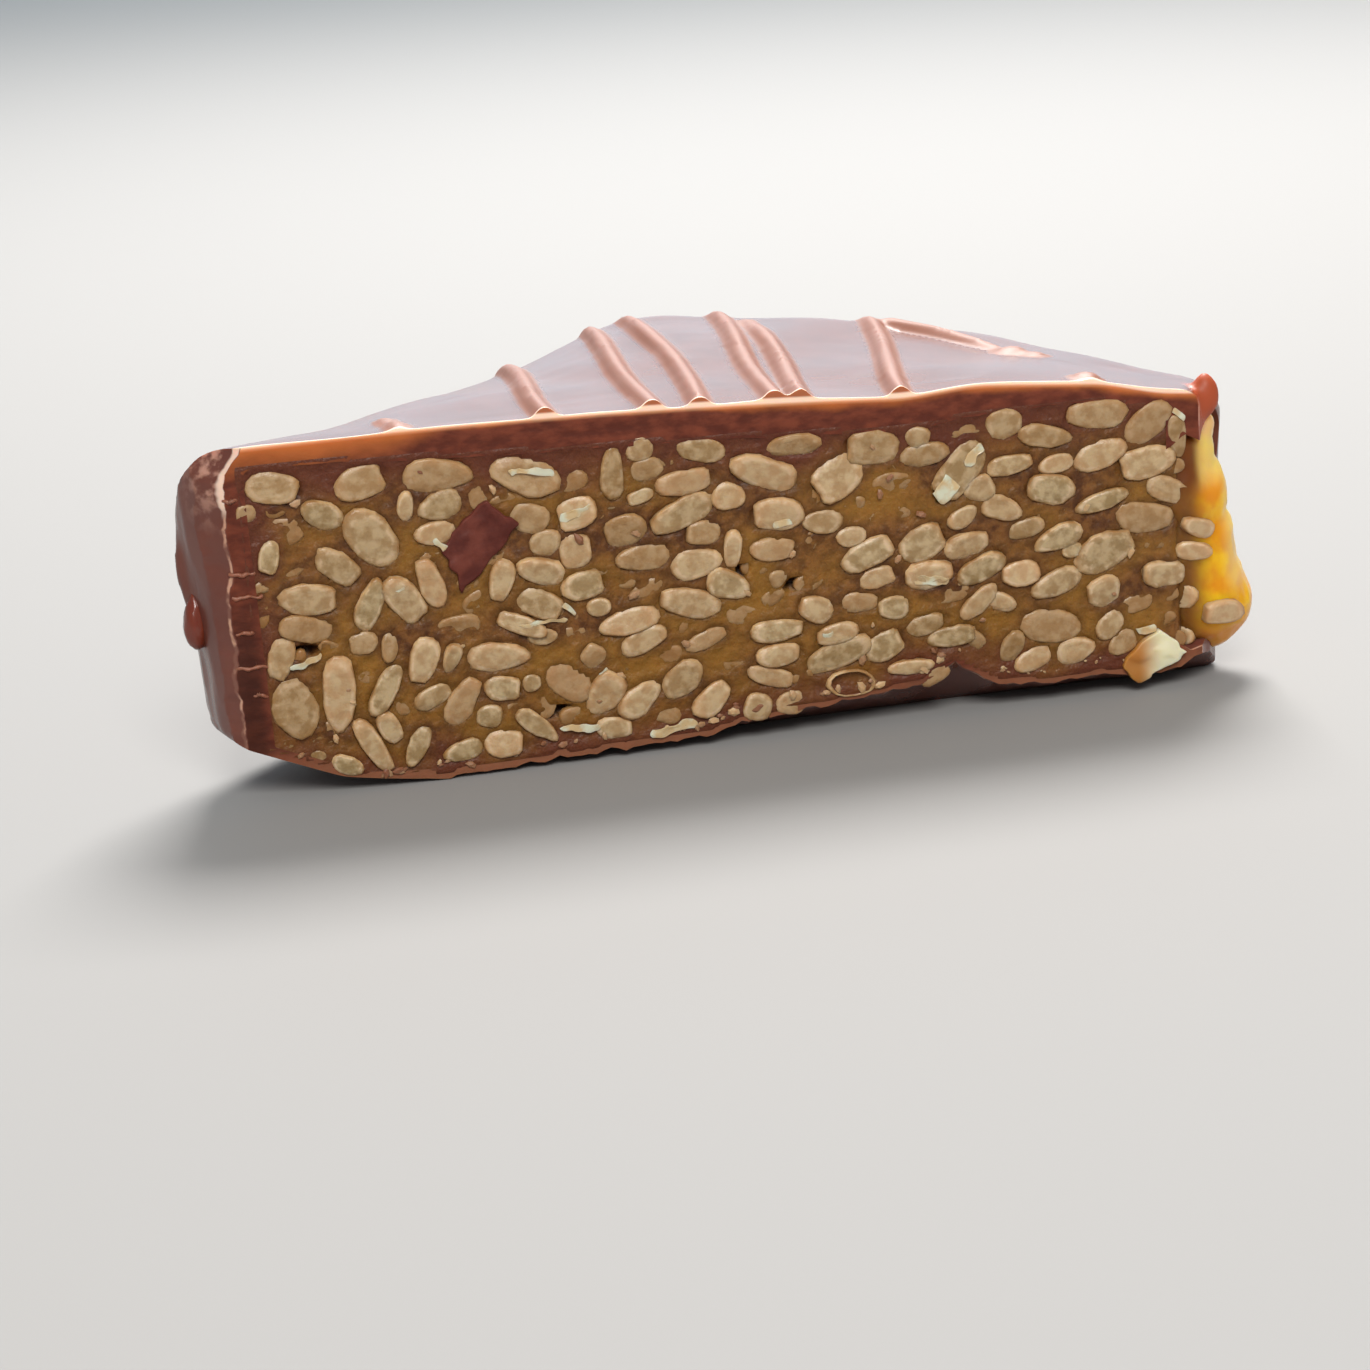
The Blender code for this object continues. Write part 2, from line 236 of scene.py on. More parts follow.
def thicken(sheet, push):
    """Turns a sheet into a closed body, pushed out by the given way."""
    make_active(sheet)
    bpy.ops.object.mode_set(mode="EDIT")
    bpy.ops.mesh.select_all(action="SELECT")
    bpy.ops.mesh.extrude_region_move(TRANSFORM_OT_translate={"value": push})
    faces_outwards()


def raise_rings(name, rings, radius):
    """Starts a body from a circle: each ring is extruded from the last and moved to its place."""
    bpy.ops.mesh.primitive_circle_add(vertices=len(rings[0]), radius=radius, fill_type="NGON")
    body = bpy.context.object
    body.name = name
    bpy.ops.object.mode_set(mode="EDIT")
    for count, ring in enumerate(rings):
        if count:
            bpy.ops.mesh.extrude_region_move()
        bpy.ops.object.mode_set(mode="OBJECT")
        chosen = [v for v in body.data.vertices if v.select]
        for vertex, at in zip(chosen, ring):
            vertex.co = at
        bpy.ops.object.mode_set(mode="EDIT")
    return body


def grow_rings(name, rings, lump):
    """A closed body of triangles between the rings, each point lifted by its lump."""
    body = raise_rings(name, [[placed(x, y, z + lump(x, y, z)) for x, y, z in ring] for ring in rings], MM)
    bpy.ops.mesh.select_all(action="SELECT")
    bpy.ops.mesh.quads_convert_to_tris()
    faces_outwards()
    return body


def body_rings(outline, inset, lift, lower, shoulder, heel, wall_levels):
    """The rings of a body, from the middle of its base up and over to the middle of its top."""
    outline = [toward_heart(p, inset) for p in outline]

    def level(share, extra, from_top, from_base):
        """A ring on the wall, or on the rounding at its top or foot."""
        ring = []
        for point in outline:
            soft = softness(point.y)
            x, y = toward_heart(point, (extra + WALL_TAPER * (1.0 - share)) * soft)
            low = base_height(x) + lift + from_base * soft
            high = top_height(x, y) - lower(x) - from_top * soft
            ring.append((x, y, low + (high - low) * share))
        return ring

    def cap(top, share):
        """A ring on the top or the base, its share of the way out from the middle."""
        ring = []
        edge = shoulder if top else heel + WALL_TAPER
        for point in outline:
            x, y = HEART.lerp(toward_heart(point, edge * softness(point.y)), share)
            ring.append((x, y, top_height(x, y) - lower(x) if top else base_height(x) + lift))
        return ring

    rings = [cap(False, share) for share in (0.04, 0.3, 0.6, 0.85)]
    for turn in (math.radians(a) for a in (90, 60, 30, 0)):
        rings.append(level(0.0, heel * (1 - math.cos(turn)), 0.0, heel * (1 - math.sin(turn))))
    for k in range(1, wall_levels):
        rings.append(level(k / wall_levels, 0.0, shoulder, heel))
    for turn in (math.radians(a) for a in range(0, 90, 10)):
        rings.append(level(1.0, shoulder * (1 - math.cos(turn)), shoulder * (1 - math.sin(turn)), 0.0))
    rings.extend(cap(True, share) for share in (1.0, 0.93, 0.84, 0.74, 0.62, 0.48, 0.32, 0.16, 0.03))
    return rings


def coat_lump(x, y, z):
    """The gentle waviness of chocolate that ran a little before it set; none on the base."""
    wave = waver(x * 0.13, y * 0.13, z * 0.16)
    return 0.28 * wave * eased(1.0, 4.0, z)


def rope(name, points, width, sides=10):
    """A drizzled strand of chocolate: a round rope along smooth points, thinning and swelling a little."""
    curve = bpy.data.curves.new(name, "CURVE")
    curve.dimensions = "3D"
    curve.bevel_depth = width * 0.5 * MM
    curve.bevel_resolution = sides // 4
    curve.use_fill_caps = True
    curve.resolution_u = 6
    spline = curve.splines.new("NURBS")
    spline.points.add(len(points) - 1)
    for target, point in zip(spline.points, points):
        target.co = (*placed(*point), 1.0)
        target.radius = 1.0 + 0.12 * waver(point[0] * 0.9, point[1] * 0.35, 3.1)
    spline.use_endpoint_u = True
    spline.order_u = 4
    make_active(new_object(name, curve))
    bpy.ops.object.convert(target="MESH")
    return bpy.context.object


STRAND_WIDTH = 1.12
STRAND_SINK = -0.04
STRANDS = (
    (-8.8, -8.0, 1.0),
    (-3.3, -2.0, 1.0),
    (-0.6, 1.0, 1.0),
    (3.3, 5.8, 1.0),
    (4.9, 7.2, 0.92),
    (10.3, 14.0, 1.0),
)
DOWN_THE_BACK = ((1.2, 0.35), (2.4, 1.5), (3.2, 3.0), (3.4, 4.2))


def over_the_top(front_x, back_x, reach):
    """Points along a strand from the cut edge, over the top and down the rounded back edge."""
    end = rim_depth(back_x) * reach
    count = 12
    points = []
    for k in range(-1, count + 1):
        share = k / count
        x = front_x + (back_x - front_x) * share + 0.25 * math.sin(share * 5.0 + front_x)
        y = end * share
        points.append((x, y, top_height(x, max(y, 0.0)) + coat_lump(x, y, 18.0) - 0.05))
    if reach == 1.0:
        x, y, z = points[-1]
        points.extend((x, y + out, z - down) for out, down in DOWN_THE_BACK)
    return points


def blob(name, centre, radii):
    """A rounded lump with the given middle and half-sizes."""
    bpy.ops.mesh.primitive_ico_sphere_add(subdivisions=3, radius=1.0, location=placed(*centre))
    ball = bpy.context.object
    ball.name = name
    ball.scale = Vector(radii) * MM
    bpy.ops.object.transform_apply(location=True, rotation=True, scale=True)
    return ball


RIM_STRAND = ((14.8, 20.6), (15.6, 19.4), (17.0, 16.6), (18.0, 13.2), (19.2, 10.6))
WALL_STRAND = (
    (-25.0, 4.6, 17.4),
    (-27.0, 4.0, 15.6),
    (-28.0, 3.4, 12.6),
    (-27.9, 3.0, 10.6),
    (-27.9, 2.8, 9.6),
)


def drizzle_ropes(coat):
    """The strands, each laid on the skin of the coat."""
    routes = [over_the_top(*strand) for strand in STRANDS]
    routes.append([(x, y, top_height(x, y)) for x, y in RIM_STRAND])
    routes.append(WALL_STRAND)
    ropes = []
    for route in routes:
        laid = []
        for k, point in enumerate(route):
            if point[1] < 0.0:
                laid.append(point)
                continue
            _, spot, normal, _ = coat.closest_point_on_mesh(placed(*point))
            sink = STRAND_SINK + 0.4 * eased(0.7, 1.0, k / (len(route) - 1))
            laid.append((spot - normal * sink * MM) / MM - CUT_MIDDLE)
        ropes.append(rope("strand", laid, STRAND_WIDTH))
    return ropes


EDGE_LUMPS = (
    (19.3, 10.3, -0.1, (1.1, 1.0, 0.6)),
    (20.3, 9.2, -0.1, (0.8, 0.8, 0.45)),
    (-16.6, 1.0, -0.15, (0.6, 1.4, 0.45)),
    (-16.9, 3.0, -0.2, (0.5, 1.4, 0.4)),
    (20.6, 0.9, -0.1, (0.85, 1.0, 0.55)),
    (27.35, 1.0, -0.35, (0.76, 0.75, 1.3)),
)


def edge_lumps():
    """The thick ends of strands, and the nub of chocolate that stands at the right end."""
    return [blob("lump", (x, y, top_height(x, y) + rise), radii) for x, y, rise, radii in EDGE_LUMPS]


def edge_wedge(rise, roughness):
    """The space under the chipped cut edge, with a ragged upper side."""
    bpy.ops.mesh.primitive_grid_add(x_subdivisions=150, y_subdivisions=8, size=1.0)
    wedge = bpy.context.object
    for vertex in wedge.data.vertices:
        x = vertex.co.x * 60.0
        y = CHIP_DEPTH * (0.2 + vertex.co.y * 1.6)
        share = 1.0 - y / CHIP_DEPTH
        height = between(x, CHIPPED_EDGE) * share + rise - 0.07
        ragged = waver(x * 1.1, y * 0.8, 5.0)
        ragged += 0.6 * waver(x * 3.1, y * 2.0, 9.0)
        vertex.co = placed(x, y, height + roughness * ragged * max(share, 0.0))
    thicken(wedge, (0, 0, -6 * MM))
    return wedge


BREAKS = (((25.8, 0.2, 8.0), (3.4, 5.0, 5.8)), ((28.1, 1.2, 13.3), (1.6, 2.4, 1.9)))


def broken_window(centre, radii):
    """A ragged hole at the right end, where the coat has broken off the caramel."""
    hole = blob("window", centre, radii)
    for vertex in hole.data.vertices:
        ragged = noise.noise(vertex.co / MM * 0.55) + 0.5 * noise.noise(vertex.co / MM * 1.7)
        middle = placed(*centre)
        vertex.co = middle + (vertex.co - middle) * (1.0 + 0.16 * ragged)
    return hole


ARRIS = 0.16


def slice_front(obj):
    """Cuts the piece off flat at the plane of the knife."""
    make_active(obj)
    bpy.ops.object.mode_set(mode="EDIT")
    bpy.ops.mesh.select_all(action="SELECT")
    bpy.ops.mesh.bisect(
        plane_co=placed(0, 0, 0), plane_no=(0, -1, 0), use_fill=True, clear_outer=True, threshold=1e-6
    )
    bpy.ops.object.mode_set(mode="OBJECT")


def round_outer_arris(obj):
    """Takes the sharpness off the outer edge of the cut, where the light catches it."""
    weights = obj.data.attributes.new("bevel_weight_edge", "FLOAT", "EDGE")
    front = placed(0, 0, 0).y
    for index, edge in enumerate(obj.data.edges):
        ends = [obj.data.vertices[i].co for i in edge.vertices]
        if max(abs(end.y - front) for end in ends) > 0.01 * MM:
            continue
        x, _, z = (ends[0] + ends[1]) / 2.0 / MM - CUT_MIDDLE
        if top_height(x, 0.0) - z < 0.6 or x < -25.2 or (x > 26.2 and z > 14.0):
            weights.data[index].value = 1.0
    apply_modifier(obj, "BEVEL", width=ARRIS * MM, segments=3, limit_method="WEIGHT")


CORNER_FRONT = Vector((-25.85, 0.0))
CORNER_BACK = Vector((-27.05, 0.8))


def left_corner():
    """The crumbled left corner of the cut: a ragged sheet from top to bottom, thickened outwards."""
    bpy.ops.mesh.primitive_grid_add(x_subdivisions=100, y_subdivisions=10, size=1.0)
    sheet = bpy.context.object
    outward = Vector((CORNER_FRONT.y - CORNER_BACK.y, CORNER_BACK.x - CORNER_FRONT.x)).normalized()
    for vertex in sheet.data.vertices:
        z = 10.0 + vertex.co.x * 24.0
        along = CORNER_FRONT.lerp(CORNER_BACK, 0.5 + vertex.co.y * 3.0)
        ragged = 0.2 * waver(z * 0.5, vertex.co.y * 3.0, 2.0)
        ragged += 0.09 * waver(z * 2.2, vertex.co.y * 9.0, 6.0)
        ragged += 0.12 * eased(13.0, 9.0, z) - 0.7 * eased(17.4, 19.0, z)
        vertex.co = placed(*(along + outward * ragged), z)
    push = outward * 5.0 * MM
    thicken(sheet, (push.x, push.y, 0))
    return sheet


def ripple_walls(obj):
    """The runs down the walls, where the chocolate flowed before it set."""
    moves = []
    for vertex in obj.data.vertices:
        x, y, z = vertex.co / MM - CUT_MIDDLE
        steep = 1.0 - eased(0.25, 0.75, abs(vertex.normal.z))
        run = 0.3 * waver(x * 0.4, y * 0.4, z * 0.1)
        run += 0.1 * waver(x * 1.1, y * 1.1, z * 0.3)
        moves.append(vertex.normal * min(run, 0.12) * steep * eased(0.0, 2.0, z) * MM)
    for vertex, move in zip(obj.data.vertices, moves):
        vertex.co += move


COAT_GRAIN = 0.225
INNER_SPACING = 1.6
INNER_SHOULDER = 1.6
INNER_HEEL = 0.4
STRAND_EDGE = (0.12, 0.34)
STRAND_FADES_DOWN = (2.2, 3.8)


def chocolate_coat():
    """Body and drizzle fused, hollowed, broken at the ends and cut off at the knife's plane."""
    outline = rounded_outline(OUTLINE_CORNERS, 1.0)
    rings = body_rings(outline, 0.0, 0.0, lambda x: 0.0, SHOULDER, HEEL, 9)
    coat = grow_rings("chocolate_coat_shell", rings, coat_lump)
    parts = drizzle_ropes(coat) + edge_lumps()
    spots = [vertex.co.copy() for part in parts for vertex in part.data.vertices]
    for part in parts:
        ends = part.data.vertices
        for first, last in part.data.edge_keys:
            spots += [ends[first].co.lerp(ends[last].co, share) for share in (0.25, 0.5, 0.75)]
    drizzle = KDTree(len(spots))
    for index, spot in enumerate(spots):
        drizzle.insert(spot, index)
    drizzle.balance()
    joined("chocolate_coat_shell", coat, *parts)
    apply_modifier(coat, "REMESH", mode="VOXEL", voxel_size=COAT_GRAIN * MM)
    apply_modifier(coat, "SMOOTH", factor=0.5, iterations=9)
    ripple_walls(coat)
    slim = rounded_outline(OUTLINE_CORNERS, INNER_SPACING)
    rings = body_rings(slim, WALL, BASE_SKIN, top_skin, INNER_SHOULDER, INNER_HEEL, 5)
    hollow = grow_rings("hollow", rings, lambda x, y, z: 0.15 * noise.noise(Vector((x, y, z)) * 0.6))
    take_away(hollow, edge_wedge(BASE_SKIN - 0.1, 0.3))
    take_away(coat, edge_wedge(0.0, 0.22))
    take_away(coat, hollow)
    for centre, radii in BREAKS:
        take_away(coat, broken_window(centre, radii))
    slice_front(coat)
    take_away(coat, left_corner())
    round_outer_arris(coat)
    strand = coat.data.attributes.new("strand", "FLOAT", "POINT")
    for index, vertex in enumerate(coat.data.vertices):
        _, _, distance = drizzle.find(vertex.co)
        x, _, z = vertex.co / MM - CUT_MIDDLE
        below_top = MID_HEIGHT - FALL_TO_RIGHT * x - z
        on_top = 1.0 - eased(*STRAND_FADES_DOWN, below_top)
        strand.data[index].value = (1.0 - eased(*STRAND_EDGE, distance / MM)) * on_top
    make_active(coat)
    bpy.ops.object.shade_smooth_by_angle(angle=math.radians(40.0))
    return coat


coat = chocolate_coat()


def feed(tree, socket, value):
    """Links the socket to another one, or sets it to a number or a colour."""
    if isinstance(value, bpy.types.NodeSocket):
        tree.links.new(value, socket)
    elif socket.type == "RGBA":
        socket.default_value = (*value, 1.0)
    else:
        socket.default_value = value


def add_node(tree, kind, **inputs):
    """A new node with each named input set to a value or linked to a socket."""
    node = tree.nodes.new(kind)
    for name, value in inputs.items():
        feed(tree, node.inputs[name.replace("_", " ")], value)
    return node


def maths(tree, operation, *values):
    """The result of one step of sums."""
    node = tree.nodes.new("ShaderNodeMath")
    node.operation = operation
    for socket, value in zip(node.inputs, values):
        feed(tree, socket, value)
    return node.outputs[0]


def times(tree, first, *others):
    """The product of all the values."""
    for other in others:
        first = maths(tree, "MULTIPLY", first, other)
    return first


def mixed(tree, factor, first, second):
    """The first colour where the factor is 0 and the second where it is 1."""
    node = tree.nodes.new("ShaderNodeMix")
    node.data_type = "RGBA"
    for index, value in ((0, factor), (6, first), (7, second)):
        feed(tree, node.inputs[index], value)
    return node.outputs[2]


def ramp(tree, value, low, high, to_low=0.0, to_high=1.0):
    """Runs smoothly from one level to another while the value goes from low to high."""
    node = add_node(tree, "ShaderNodeMapRange", Value=value, From_Min=low, From_Max=high)
    node.interpolation_type = "SMOOTHSTEP"
    node.inputs["To Min"].default_value = to_low
    node.inputs["To Max"].default_value = to_high
    return node.outputs[0]


def millimetres(tree):
    """The place on the object in millimetres from the middle of the cut edge."""
    place = tree.nodes.new("ShaderNodeTexCoord").outputs["Object"]
    node = tree.nodes.new("ShaderNodeVectorMath")
    node.operation = "MULTIPLY_ADD"
    tree.links.new(place, node.inputs[0])
    node.inputs[1].default_value = (1.0 / MM, 1.0 / MM, 1.0 / MM)
    node.inputs[2].default_value = -CUT_MIDDLE
    return node.outputs[0]


def speckle(tree, where, scale, detail=3.0, stretch=(1.0, 1.0, 1.0)):
    """Soft noise, its scale in cycles to the millimetre."""
    node = tree.nodes.new("ShaderNodeVectorMath")
    node.operation = "MULTIPLY"
    tree.links.new(where, node.inputs[0])
    node.inputs[1].default_value = stretch
    texture = add_node(tree, "ShaderNodeTexNoise", Vector=node.outputs[0], Scale=scale, Detail=detail)
    return texture.outputs["Fac"]


def plain_material(name, colour, roughness):
    """A new material of one colour, with its node tree and its shader."""
    material = bpy.data.materials.new(name)
    material.use_nodes = True
    shader = material.node_tree.nodes["Principled BSDF"]
    shader.inputs["Base Color"].default_value = (*colour, 1.0)
    shader.inputs["Roughness"].default_value = roughness
    return material, material.node_tree, shader


def see_through(shader, weight, red, green, blue):
    """Lets light travel the given millimetres under the surface."""
    shader.inputs["Subsurface Weight"].default_value = weight
    shader.inputs["Subsurface Radius"].default_value = (red, green, blue)
    shader.inputs["Subsurface Scale"].default_value = MM


def bump(tree, shader, height, depth, strength=1.0):
    """Roughens the surface, the height from 0 to 1 standing for the depth in millimetres."""
    node = add_node(tree, "ShaderNodeBump", Height=height, Strength=strength, Distance=depth * MM)
    tree.links.new(node.outputs[0], shader.inputs["Normal"])


def own(tree, name):
    """The value of a point attribute of the mesh."""
    node = tree.nodes.new("ShaderNodeAttribute")
    node.attribute_name = name
    return node.outputs["Fac"]


def skin_chocolate():
    """The skin that set in the air: glossy, browner on the strands, with a painted highlight along the
    edges of the cut.
    """
    material, tree, shader = plain_material("milk_chocolate", (0.2, 0.08, 0.05), 0.3)
    where = millimetres(tree)
    x, y, z = add_node(tree, "ShaderNodeSeparateXYZ", Vector=where).outputs
    cloud = ramp(tree, speckle(tree, where, 0.25), 0.35, 0.7)
    skin = mixed(tree, cloud, (0.145, 0.046, 0.031), (0.12, 0.038, 0.027))
    skin = mixed(tree, times(tree, own(tree, "strand"), 0.9), skin, (0.25, 0.1, 0.062))
    scuffs = ramp(tree, speckle(tree, where, 1.4, 4.0), 0.43, 0.66)
    by_the_corner = times(tree, ramp(tree, x, -28.2, -26.6), ramp(tree, x, -25.6, -25.2, 1.0, 0.0))
    near_the_top = times(tree, ramp(tree, z, 14.0, 17.5), ramp(tree, y, 2.0, 4.5, 1.0, 0.0))
    scuffed = times(tree, by_the_corner, near_the_top, scuffs)
    skin = mixed(tree, times(tree, scuffed, 0.8), skin, (0.5, 0.27, 0.2))
    # The nub at the right end is redder: partly its own colour, partly a painted glow of light through its
    # thin chocolate.
    nub = times(tree, ramp(tree, x, 26.2, 26.6), ramp(tree, z, 12.0, 15.5))
    nub = times(tree, nub, ramp(tree, y, 1.6, 2.6, 0.95, 0.0))
    skin = mixed(tree, nub, skin, (0.38, 0.065, 0.018))
    # Painted highlight: a pale line along the outer edges of the cut, broken up by noise; along the chipped
    # bottom edge it also stands for the pale crust there.
    edge = times(tree, ramp(tree, y, 0.02, 0.05), ramp(tree, y, 0.1, 0.16, 1.0, 0.0))
    highlight_breakup = ramp(tree, speckle(tree, where, 0.9, 3.0), 0.42, 0.62, 0.1, 0.8)
    skin = mixed(tree, times(tree, edge, highlight_breakup), skin, (0.6, 0.34, 0.23))
    # Painted highlight: a cream line along the top edge of the cut, where the rounded edge would catch the
    # light from behind.
    top_edge_highlight = times(tree, ramp(tree, y, 0.0, 0.03), ramp(tree, y, 0.14, 0.24, 1.0, 0.0))
    top_edge_highlight = times(tree, top_edge_highlight, ramp(tree, z, 15.2, 16.0), ramp(tree, x, 25.5, 26.3, 0.75, 0.0))
    skin = mixed(tree, top_edge_highlight, skin, (0.88, 0.66, 0.53))
    tree.links.new(skin, shader.inputs["Base Color"])
    tree.links.new(ramp(tree, own(tree, "strand"), 0.0, 1.0, 0.27, 0.5), shader.inputs["Roughness"])
    shader.inputs["Specular IOR Level"].default_value = 0.4
    see_through(shader, 0.2, 1.2, 0.4, 0.15)
    bump(tree, shader, speckle(tree, where, 0.5, 1.0), 0.03, 0.25)
    return material


def cut_chocolate():
    """The cut through the coat: matt and smeared, and orange along the rim, where light comes through."""
    material, tree, shader = plain_material("cut_chocolate", (0.2, 0.08, 0.05), 0.55)
    where = millimetres(tree)
    x, _, z = add_node(tree, "ShaderNodeSeparateXYZ", Vector=where).outputs
    bend = times(tree, maths(tree, "POWER", maths(tree, "DIVIDE", x, HALF_CUT), 2.0), -CROWN)
    rim = maths(tree, "MULTIPLY_ADD", x, -FALL_TO_RIGHT, MID_HEIGHT + CROWN - RIM_DROP)
    rim = maths(tree, "ADD", rim, bend)
    for begin, finish, size in (RIM_STEP_UP, RIM_STEP_DOWN):
        rim = maths(tree, "ADD", rim, ramp(tree, x, begin, finish, 0.0, size))
    smear = speckle(tree, where, 0.35, 4.0, (1.0, 1.0, 2.2))
    under_top = maths(tree, "SUBTRACT", rim, z)
    uneven = times(tree, maths(tree, "SUBTRACT", smear, 0.5), 0.9)
    # Painted light along the rim of the cut: an orange glow, as of light through the thin chocolate, and
    # over it a pale crest and a paler line at the very edge, both painted highlights.
    reach = maths(tree, "ADD", ramp(tree, x, -19.0, -13.0, 1.75, 0.35), ramp(tree, x, -4.0, 6.0, 0.0, 0.25))
    glow = maths(tree, "DIVIDE", maths(tree, "ADD", under_top, uneven), reach)
    glow = ramp(tree, glow, -0.2, 1.1, 0.95, 0.0)
    crest = ramp(tree, under_top, 0.06, 0.32, 0.6, 0.0)
    crest = times(tree, crest, ramp(tree, x, 20.0, 23.0, 1.0, 0.3))
    edge_highlight_line = ramp(tree, under_top, 0.0, 0.16, 0.75, 0.0)
    shade = ramp(tree, x, -25.2, -24.4, 0.7, 0.0)
    shade = times(tree, shade, ramp(tree, z, 7.0, 13.0, 1.0, 0.0))
    flecks = speckle(tree, where, 1.1, 6.0, (0.8, 1.0, 1.5))
    cut = mixed(tree, ramp(tree, flecks, 0.35, 0.7), (0.09, 0.018, 0.009), (0.175, 0.04, 0.019))
    cut = mixed(tree, glow, cut, (0.56, 0.155, 0.032))
    low = ramp(tree, z, 1.0, 3.4, 0.7, 0.0)
    cut = mixed(tree, crest, cut, (0.8, 0.44, 0.24))
    cut = mixed(tree, edge_highlight_line, cut, (0.92, 0.74, 0.6))
    strand_end = ramp(tree, under_top, -0.28, -0.12, 0.95, 0.0)
    cut = mixed(tree, strand_end, cut, (0.3, 0.082, 0.022))
    cut = mixed(tree, low, cut, (0.27, 0.11, 0.055))
    cut = mixed(tree, shade, cut, (0.035, 0.009, 0.005))
    tree.links.new(cut, shader.inputs["Base Color"])
    shader.inputs["Specular IOR Level"].default_value = 0.2
    see_through(shader, 0.2, 1.2, 0.4, 0.15)
    bump(tree, shader, maths(tree, "ADD", flecks, smear), 0.16, 0.35)
    return material


coat.data.materials.append(skin_chocolate())
coat.data.materials.append(cut_chocolate())
knife_plane = placed(0, 0, 0).y
for face in coat.data.polygons:
    if all(abs(coat.data.vertices[i].co.y - knife_plane) < 0.01 * MM for i in face.vertices):
        face.material_index = 1
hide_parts("chocolate_coat")
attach(coat, "root")


